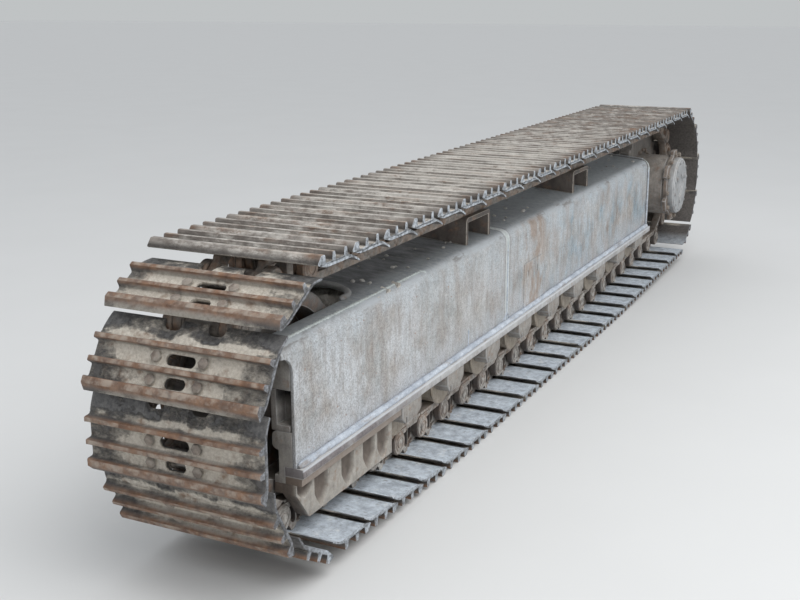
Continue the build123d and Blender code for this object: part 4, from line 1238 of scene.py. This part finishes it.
ROOF_SLOT_HALF, ROOF_SLOT_END, ARC_STEPS = 0.100, 0.455, 16
slot_mid_x = idler_x + ROOF_SLOT_END - ROOF_SLOT_HALF
slot_path = [(slot_mid_x - 0.03, CHAIN_Y - ROOF_SLOT_HALF)]
for step in range(ARC_STEPS + 1):
    angle = math.pi * step / ARC_STEPS
    along, aside = ROOF_SLOT_HALF * math.sin(angle), ROOF_SLOT_HALF * math.cos(angle)
    slot_path.append((slot_mid_x + along, CHAIN_Y - aside))
slot_path.append((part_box("frame_outer_plate")[0].x + 0.012, CHAIN_Y + ROOF_SLOT_HALF))
lip_mesh = bead([(x, y, roof_z(y) + 0.003) for x, y in slot_path], 0.011, 31, step=0.012, sides=10, ripple=0.02)
LIP_FINISH = worn_steel(
    "slot_lip", (0.17, 0.17, 0.17), (0.30, 0.30, 0.295), (0.44, 0.43, 0.41), dusty=0.35, rusty=0.0,
)
add_piece("roof_slot_lip", lip_mesh, LIP_FINISH, 50)


# Packed dirt and small stones behind the idler, heaped on the yoke between the two walls.
def dirt_finish():
    made, tree, shader = finish_of("packed_dirt")
    grains = patches(tree, 0.012, detail=10, low=0.30, high=0.70, rough=0.75)
    colour = layer(tree, (0.34, 0.305, 0.265), (0.92, 0.88, 0.80), grains)
    relief(tree, shader, (grains, 0.006))
    paint(tree, shader, colour, mixed(tree, 0.97, 0.88, grains))
    return made


HEAP_X, HEAP_HALF = (0.354, 0.640), 0.1675
HEAP_HEIGHT, HEAP_SLOPE, HEAP_LUMPS = 0.148, 0.022, 0.024
ACROSS, ALONG = 34, 30
heap_faces, heap_points = [], []
yoke_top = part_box("idler_yoke")[1].z
for row in range(ALONG + 1):
    for column in range(ACROSS + 1):
        u, v = row / ALONG, column / ACROSS * 2 - 1
        x = idler_x + HEAP_X[0] + (HEAP_X[1] - HEAP_X[0]) * u
        y = CHAIN_Y + HEAP_HALF * v
        swell = min(1.0, 0.30 + 4 * u)
        lumps = noise.fractal(Vector((x * 24, y * 24, 3.0)), 0.7, 2.0, 4)
        heap_points.append(
            (x, y, yoke_top - 0.004 + (HEAP_HEIGHT + HEAP_LUMPS * lumps + HEAP_SLOPE * u) * swell)
        )
heap_points += [(x, y, yoke_top - 0.006) for x, y, z in heap_points]
layer_size = (ALONG + 1) * (ACROSS + 1)
for row in range(ALONG):
    for column in range(ACROSS):
        base = row * (ACROSS + 1) + column
        quad = (base, base + 1, base + ACROSS + 2, base + ACROSS + 1)
        heap_faces += [quad, tuple(point + layer_size for point in reversed(quad))]
rim = list(range(ACROSS)) + [row * (ACROSS + 1) + ACROSS for row in range(ALONG)]
rim += [ALONG * (ACROSS + 1) + column for column in range(ACROSS, 0, -1)]
rim += [row * (ACROSS + 1) for row in range(ALONG, 0, -1)]
for here, there in zip(rim, rim[1:] + rim[:1]):
    heap_faces.append((here, here + layer_size, there + layer_size, there))
DIRT_FINISH = dirt_finish()
add_piece("packed_dirt_heap", mesh_of("heap", heap_points, heap_faces), DIRT_FINISH, 60)


# Loose pebbles on the roof, each one a lumpy stone lying where it fell.
PEBBLES, PEBBLE_RADIUS = 70, 0.006


def pebble(seed):
    """A lumpy stone, a little flattened."""
    work = bmesh.new()
    bmesh.ops.create_icosphere(work, subdivisions=2, radius=PEBBLE_RADIUS)
    for vertex in work.verts:
        vertex.co *= 1 + 0.45 * noise.noise(vertex.co * 160 + Vector((seed, 0, 0)))
        vertex.co.z *= 0.7
    mesh = bpy.data.meshes.new("pebble")
    work.to_mesh(mesh)
    work.free()
    return mesh


def pebble_finish():
    made, tree, shader = finish_of("pebbles")
    grains = patches(tree, 0.004, detail=6)
    colour = layer(tree, (0.30, 0.285, 0.26), (0.60, 0.58, 0.54), attribute(tree, "tone"))
    colour = layer(tree, colour, (0.22, 0.20, 0.18), times(tree, grains, 0.4))
    relief(tree, shader, (grains, 0.001))
    paint(tree, shader, colour, mixed(tree, 0.8, 0.95, grains))
    return made


shuffle = random.Random(8)
pebble_spots = []
for _ in range(PEBBLES):
    x = shuffle.uniform(idler_x + 0.5, frame_rear - 0.05)
    y = shuffle.uniform(wall_y + 0.055, wall_y + 0.33)
    pebble_spots.append((x, y, roof_z(y) + 0.003))
pebble_places = bpy.data.meshes.new("pebble_places")
pebble_places.from_pydata(pebble_spots, [], [])
pebble_turns = pebble_places.attributes.new("turn", "FLOAT_VECTOR", "POINT")
for value in pebble_turns.data:
    value.vector = (shuffle.uniform(-0.2, 0.2), shuffle.uniform(-0.2, 0.2), shuffle.uniform(0, 6.28))
STONE = pebble_finish()
pebbles_mesh = repeated("roof_pebbles", pebble_places, pebble(3.0), 4, STONE, spread=0.55)
add_piece("roof_pebbles", pebbles_mesh, STONE, 60)


# Bottom rails: thick flats under the walls, with a strip below at the front. A pale painted
# # highlight runs along the top outer edge all the way and a fainter one along the lower edge,
# # faces that look forwards carry painted shade, and the face under the top edge is brown with dust.
RAIL_FACE = (0.2030, 0.2048)
DARK_FRONT_X = (0.95, 0.35)


def rail_finish():
    made, tree, shader, colour = worn_layers(
        "rail_paint", (0.37, 0.36, 0.36), (0.56, 0.56, 0.56), (0.58, 0.565, 0.54), dusty=0.40, rusty=0.4,
    )
    z = place_along(tree, "Z")
    away = from_middle(tree)
    # Painted shade: faces that look forwards are darkened.
    front = reading(tree, times(tree, facing(tree, "X"), -1.0), 0.7, 0.9)
    colour = layer(tree, colour, (0.17, 0.15, 0.155), times(tree, front, 0.75))
    dark_front = band(tree, "X", *(idler_x + at for at in DARK_FRONT_X))
    beside = times(tree, reading(tree, away, *RAIL_FACE), dark_front)
    beside = times(tree, beside, patches(tree, 0.08, detail=9, low=0.25, high=0.5, shift=(2, 6, 6)))
    dark = layer(tree, (0.105, 0.088, 0.090), (0.23, 0.20, 0.20), patches(tree, 0.01, detail=9, rough=0.7))
    colour = layer(tree, colour, dark, times(tree, beside, 0.92))
    strip = reading(tree, away, 0.2030, 0.2000)
    below = times(tree, strip, reading(tree, z, rail_top - 0.030, rail_top - 0.032))
    colour = layer(tree, colour, (0.255, 0.195, 0.15), times(tree, below, 0.8))
    # Painted highlight: a pale, ragged line along the rail's top outer edge.
    ragged = patches(tree, 0.02, stretch=(4, 1, 1), detail=6, low=0.2, high=0.8, shift=(1, 1, 8))
    painted_top_highlight = reading(tree, z, rail_top - 0.0100, rail_top - 0.0050)
    painted_top_highlight = sum_of(tree, "SUBTRACT", painted_top_highlight, times(tree, ragged, 0.30))
    outer = times(tree, painted_top_highlight, reading(tree, away, 0.2015, 0.2040))
    colour = layer(tree, colour, (0.62, 0.64, 0.665), times(tree, outer, 0.9))
    # Painted highlight: a pale line along the rail's lower edge.
    painted_low_highlight = times(
        tree, reading(tree, z, rail_top - 0.0275, rail_top - 0.0290),
        reading(tree, z, rail_top - 0.0325, rail_top - 0.0305),
    )
    colour = layer(tree, colour, (0.55, 0.54, 0.52), times(tree, painted_low_highlight, 0.7))
    paint(tree, shader, colour)
    return made


RAIL_FINISH = rail_finish()
for side in ("outer", "inner"):
    dress("frame_bottom_rail_" + side, RAIL_FINISH, 0.0015)
dark_steel = worn_steel(
    "dark_frame_steel", (0.10, 0.095, 0.09), (0.16, 0.15, 0.14), (0.24, 0.215, 0.185), dusty=0.4,
)
dress("frame_ribs", dark_steel)


# Idler: a wide cast wheel whose treads and centre flange are rubbed by the chain, with dusty
# webs and hub, on a shaft held by a bearing block at each side. The blocks slide between
# rails in the frame.
def radius_from(tree, x, z):
    """Distance from an axle across the track, in metres."""
    squares = []
    for axis, middle in (("X", x), ("Z", z)):
        off = sum_of(tree, "SUBTRACT", place_along(tree, axis), middle, free=True)
        squares.append(times(tree, off, off, free=True))
    return sum_of(tree, "SQRT", sum_of(tree, "ADD", *squares, free=True), 0, free=True)


def rubbed_finish(name, x, radii, bright=1.0, **looks):
    """Worn steel round an axle at x, rubbed bright from the first radius to the second."""
    made, tree, shader, colour = worn_layers(
        name, (0.13, 0.12, 0.115), (0.21, 0.195, 0.18), (0.36, 0.325, 0.28), **looks,
    )
    reach = reading(tree, radius_from(tree, x, axle_z), *radii)
    tones = [tuple(part * bright for part in tone) for tone in ((0.22, 0.20, 0.18), (0.42, 0.39, 0.36))]
    rubbed = layer(tree, *tones, patches(tree, 0.03, stretch=(1, 3, 1), detail=8))
    paint(tree, shader, layer(tree, colour, rubbed, reach), None, mixed(tree, 0.0, 0.6, reach))
    return made


IDLER_TREADS = (0.314, 0.328)
BLOCK_FACE, RECESS_X = (0.1140, 0.1165), (-0.052, -0.056)
RECESS_FOOT_Z, RECESS_SHADE_Z = (0.462, 0.468), (0.510, 0.552)
IDLER_FINISH = rubbed_finish("idler_steel", idler_x, IDLER_TREADS, bright=0.55, dusty=0.12, rusty=0.8)
dress("idler_wheel", IDLER_FINISH, 0.002)


def mount_finish():
    made, tree, shader, colour = worn_layers(
        "idler_mount", (0.17, 0.16, 0.155), (0.30, 0.285, 0.27), (0.42, 0.39, 0.35), dusty=0.50,
    )
    # Painted shade: the upper part of the bearing block's recess, under the upper slide, is painted nearly
    # black.
    painted_recess_shade = reading(tree, from_middle(tree), *BLOCK_FACE)
    painted_recess_shade = times(tree, painted_recess_shade, band(tree, "X", *(idler_x + at for at in RECESS_X)))
    painted_recess_shade = times(tree, painted_recess_shade, band(tree, "Z", *RECESS_FOOT_Z))
    painted_recess_shade = times(tree, painted_recess_shade, band(tree, "Z", *RECESS_SHADE_Z))
    paint(tree, shader, layer(tree, colour, (0.020, 0.018, 0.017), painted_recess_shade))
    return made


mount_steel = mount_finish()
slide_steel = worn_steel(
    "slide_steel", (0.23, 0.22, 0.21), (0.37, 0.355, 0.335), (0.50, 0.47, 0.42), dusty=0.55,
)
for side in ("outer", "inner"):
    dress("idler_block_" + side, mount_steel, 0.003)
    dress("idler_slide_lower_" + side, slide_steel, 0.003)
    dress("idler_slide_upper_" + side, slide_steel, 0.004)
dress("idler_shaft", mount_steel, 0.002)
dress("idler_yoke", mount_steel, 0.003)
greasy = worn_steel(
    "recoil_paint", (0.085, 0.08, 0.075), (0.14, 0.13, 0.12), (0.25, 0.22, 0.185), dusty=0.35, gloss=0.4,
)
dress("recoil_cylinder", greasy, 0.003)


# Bottom rollers: forged rollers with a tread at each end, a waist between them and a
# # tapered flange outside, running in collars under the rails. They are tan and dusty all over.
ROLLER_RADIUS, ROLLER_FLANGE, WORN_FLANGE, ROLLER_WAIST = 0.088, 0.100, 0.0935, 0.072
ROLLER_STEP = 0.395
low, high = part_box("track_rollers")
roller_half = (high.y - low.y) / 2
first_roller = low.x + ROLLER_FLANGE
roller_count = round((high.x - ROLLER_FLANGE - first_roller) / ROLLER_STEP) + 1


def turned_form(profile, segments):
    """A closed turned form about the Y axis from its half profile of (radius, y) points."""
    points, faces = [], []
    count = len(profile)
    for step in range(segments):
        angle = 2 * math.pi * step / segments
        points += [(r * math.cos(angle), y, r * math.sin(angle)) for r, y in profile]
    for step in range(segments):
        base, after = step * count, (step + 1) % segments * count
        for row in range(count - 1):
            faces.append((base + row, base + row + 1, after + row + 1, after + row))
    return mesh_of("turned", points, faces)


roller_profile_half = [
    (0.0, roller_half), (WORN_FLANGE - 0.004, roller_half), (WORN_FLANGE, roller_half - 0.004),
    (WORN_FLANGE - 0.001, roller_half - 0.008), (ROLLER_RADIUS, 0.126), (ROLLER_RADIUS, 0.062),
    (ROLLER_RADIUS - 0.004, 0.058), (ROLLER_WAIST + 0.002, 0.030), (ROLLER_WAIST, 0.020),
]
roller_profile = roller_profile_half + [(r, -y) for r, y in reversed(roller_profile_half)]
roller_spots = []
for roller in range(roller_count):
    x = first_roller - idler_x + roller * ROLLER_STEP
    before = math.floor(x / PITCH - 0.5) + 0.5
    behind_z, ahead_z = bottom_pin_z(before * PITCH), bottom_pin_z((before + 1) * PITCH)
    line_z = behind_z + (ahead_z - behind_z) * (x / PITCH - before)
    stretch = math.hypot(PITCH, ahead_z - behind_z) / PITCH
    roller_spots.append((idler_x + x, CHAIN_Y, line_z + (PIN_TO_RAIL + ROLLER_RADIUS + 0.0003) * stretch))


def plain_places(spots, turn=(0.0, 0.0, 0.0)):
    """Places for a repeated piece, all turned alike."""
    mesh = bpy.data.meshes.new("places")
    mesh.from_pydata(spots, [], [])
    turns = mesh.attributes.new("turn", "FLOAT_VECTOR", "POINT")
    for value in turns.data:
        value.vector = turn
    return mesh


roller_paint = worn_steel(
    "roller_paint", (0.23, 0.185, 0.145), (0.36, 0.305, 0.245), (0.52, 0.46, 0.375), dusty=0.6, rusty=0.35,
    size=0.04,
)
rollers_mesh = repeated(
    "track_rollers", plain_places(roller_spots), turned_form(roller_profile, 40), 3, roller_paint,
)
dress("track_rollers", roller_paint, mesh=rollers_mesh)
collar_paint = worn_steel(
    "collar_paint", (0.20, 0.18, 0.165), (0.34, 0.32, 0.295), (0.50, 0.47, 0.42), dusty=0.45, rusty=0.5,
    size=0.03,
)
for side in ("outer", "inner"):
    dress("roller_collars_" + side, collar_paint, 0.004)


# Chain guides: thick flats under the front of the rails, whose scooped pockets clear the
# # chain's bolts. They are grey-beige, and the pockets are painted dark brown as painted shade.
POCKET_DEPTH = (0.1770, 0.1640)


def guide_finish():
    made, tree, shader, colour = worn_layers(
        "guide_steel", (
            0.25, 0.225, 0.20,
        ), (0.42, 0.39, 0.35), (0.56, 0.52, 0.45), dusty=0.5, rusty=0.45, size=0.04,
    )
    # Painted shade: the pockets are painted dark brown.
    painted_pocket_shade = reading(tree, from_middle(tree), *POCKET_DEPTH)
    dark = layer(
        tree, (0.09, 0.072, 0.060), (0.175, 0.14, 0.115), patches(tree, 0.03, stretch=(1, 1, 3), detail=8),
    )
    paint(tree, shader, layer(tree, colour, dark, times(tree, painted_pocket_shade, 0.93)))
    return made


GUIDE_FINISH = guide_finish()
for side in ("outer", "inner"):
    dress("chain_guide_" + side, GUIDE_FINISH, 0.003)


# Carrier skids: folded plates welded on the roof, brown inside, on whose tops the
# # chain's rails slide.
skid_steel = worn_steel(
    "skid_steel", (0.075, 0.062, 0.055), (0.15, 0.125, 0.11), (0.25, 0.215, 0.18), bare=(0.60, 0.55, 0.48),
    dusty=0.30, rusty=0.5,
)
for skid in ("1", "2"):
    dress("carrier_skid_" + skid, skid_steel, 0.0025)


# Sprocket: a thick toothed ring bolted round the drum, polished in its seats and on its
# teeth by the bushings, dusty on its flat sides.
low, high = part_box("sprocket")
drive_x, sprocket_outer, sprocket_inner = (low.x + high.x) / 2, low.y, high.y
SPROCKET_SEATS = (0.352, 0.366)
SPROCKET_FINISH = rubbed_finish("sprocket_steel", drive_x, SPROCKET_SEATS, dusty=0.5, rusty=0.45)
dress("sprocket", SPROCKET_FINISH, 0.003)


def bolt_ring(name, count, radius, y, towards, across, finish, seed, start=0, tall=0.6):
    """Bolts in a ring round the drive's axle, with their heads towards -Y or +Y."""
    spots = []
    for step in range(count):
        angle = math.radians(start) + 2 * math.pi * step / count
        spots.append((drive_x + radius * math.cos(angle), y, axle_z + radius * math.sin(angle)))
    places = plain_places(spots, turn=(-towards * math.pi / 2, 0.0, 0.0))
    mesh = repeated(name, places, hex_bolt(across, across * tall), seed, finish)
    add_piece(name, mesh, finish)


bolt_steel = worn_steel(
    "bolt_steel", (0.17, 0.14, 0.12), (0.28, 0.24, 0.20), (0.40, 0.36, 0.31), dusty=0.4, rusty=0.7, size=0.02,
)
for side, y, towards in (("outer", sprocket_outer, -1), ("inner", sprocket_inner, 1)):
    bolt_ring(
        "sprocket_bolts_" + side, count=20, radius=0.214, y=y, towards=towards, across=0.024,
        finish=bolt_steel, seed=1,
    )


# Final drive: the drum that turns with the sprocket, brown-grey with dust, its ring of lugs
# with a bolt on each, and the round pale cover with its own bolts and three plugs.
cover_y, ring_y = (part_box("final_drive_" + node)[0].y for node in ("cover", "lug_ring"))
drum_paint = worn_steel(
    "drum_paint", (0.155, 0.135, 0.12), (0.33, 0.30, 0.275), (0.42, 0.385, 0.34), dusty=0.45, rusty=0.5,
    size=0.05,
)
lug_paint = worn_steel(
    "lug_paint", (0.125, 0.095, 0.078), (0.25, 0.20, 0.165), (0.45, 0.40, 0.345), dusty=0.26, rusty=0.5,
    size=0.04,
)
cover_paint = worn_steel(
    "cover_paint", (0.29, 0.31, 0.325), (0.45, 0.47, 0.485), (0.46, 0.42, 0.37), bare=(0.66, 0.66, 0.66),
    dusty=0.34, rusty=0.35, size=0.05,
)
dress("final_drive_drum", drum_paint)
dress("final_drive_lug_ring", lug_paint, 0.004)
dress("final_drive_cover", cover_paint, 0.002)
bolt_ring(
    "lug_bolts", count=12, radius=0.2025, y=ring_y, towards=-1, across=0.024,
    finish=bolt_steel, seed=2, start=7,
)
bolt_ring(
    "cover_bolts", count=12, radius=0.152, y=cover_y, towards=-1, across=0.017,
    finish=cover_paint, seed=3, start=15, tall=0.35,
)
bolt_ring(
    "cover_plugs", count=3, radius=0.100, y=cover_y, towards=-1, across=0.026,
    finish=cover_paint, seed=4, start=30, tall=0.25,
)


# Travel motor on the inner side: neck and flange of the gearbox, round motor housing and
# valve block, in worn dark grey paint with oily dust, and bolts round the flange.
motor_paint = worn_steel(
    "motor_paint", (0.11, 0.11, 0.115), (0.18, 0.18, 0.185), (0.27, 0.245, 0.21), dusty=0.45, rusty=0.15,
    gloss=0.45,
)
for node in ("gearbox_neck", "travel_motor", "motor_valve_block"):
    dress(node, motor_paint, 0.003)
bolt_ring(
    "drive_flange_bolts", count=18, radius=0.188, y=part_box("frame_inner_plate")[1].y + 0.022, towards=1,
    across=0.024, finish=bolt_steel, seed=5,
)
bolt_ring(
    "motor_bolts", count=8, radius=0.076, y=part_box("travel_motor")[1].y, towards=1,
    across=0.014, finish=bolt_steel, seed=6,
)
low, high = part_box("motor_valve_block")
port_spots = [(low.x + (high.x - low.x) * share, high.y - 0.045, high.z) for share in (0.28, 0.72)]
port_mesh = repeated(
    "valve_ports", plain_places(port_spots), hex_bolt(across=0.036, height=0.020), 7, bolt_steel,
)
add_piece("valve_port_plugs", port_mesh, bolt_steel)


# Stub beams to the chassis: welded box beams with a thick bolting flange, in the frame's
# # worn paint, painted darker and duller as painted shade where they lie hidden between the
# # unit and the chassis.
stub_paint = worn_steel(
    "stub_paint", (0.20, 0.20, 0.205), (0.29, 0.29, 0.29), (0.34, 0.31, 0.27), dusty=0.35, rusty=0.35, size=0.10,
)
for name in ("front", "rear"):
    dress("chassis_stub_" + name, stub_paint)
    dress("chassis_flange_" + name, stub_paint, 0.0025)
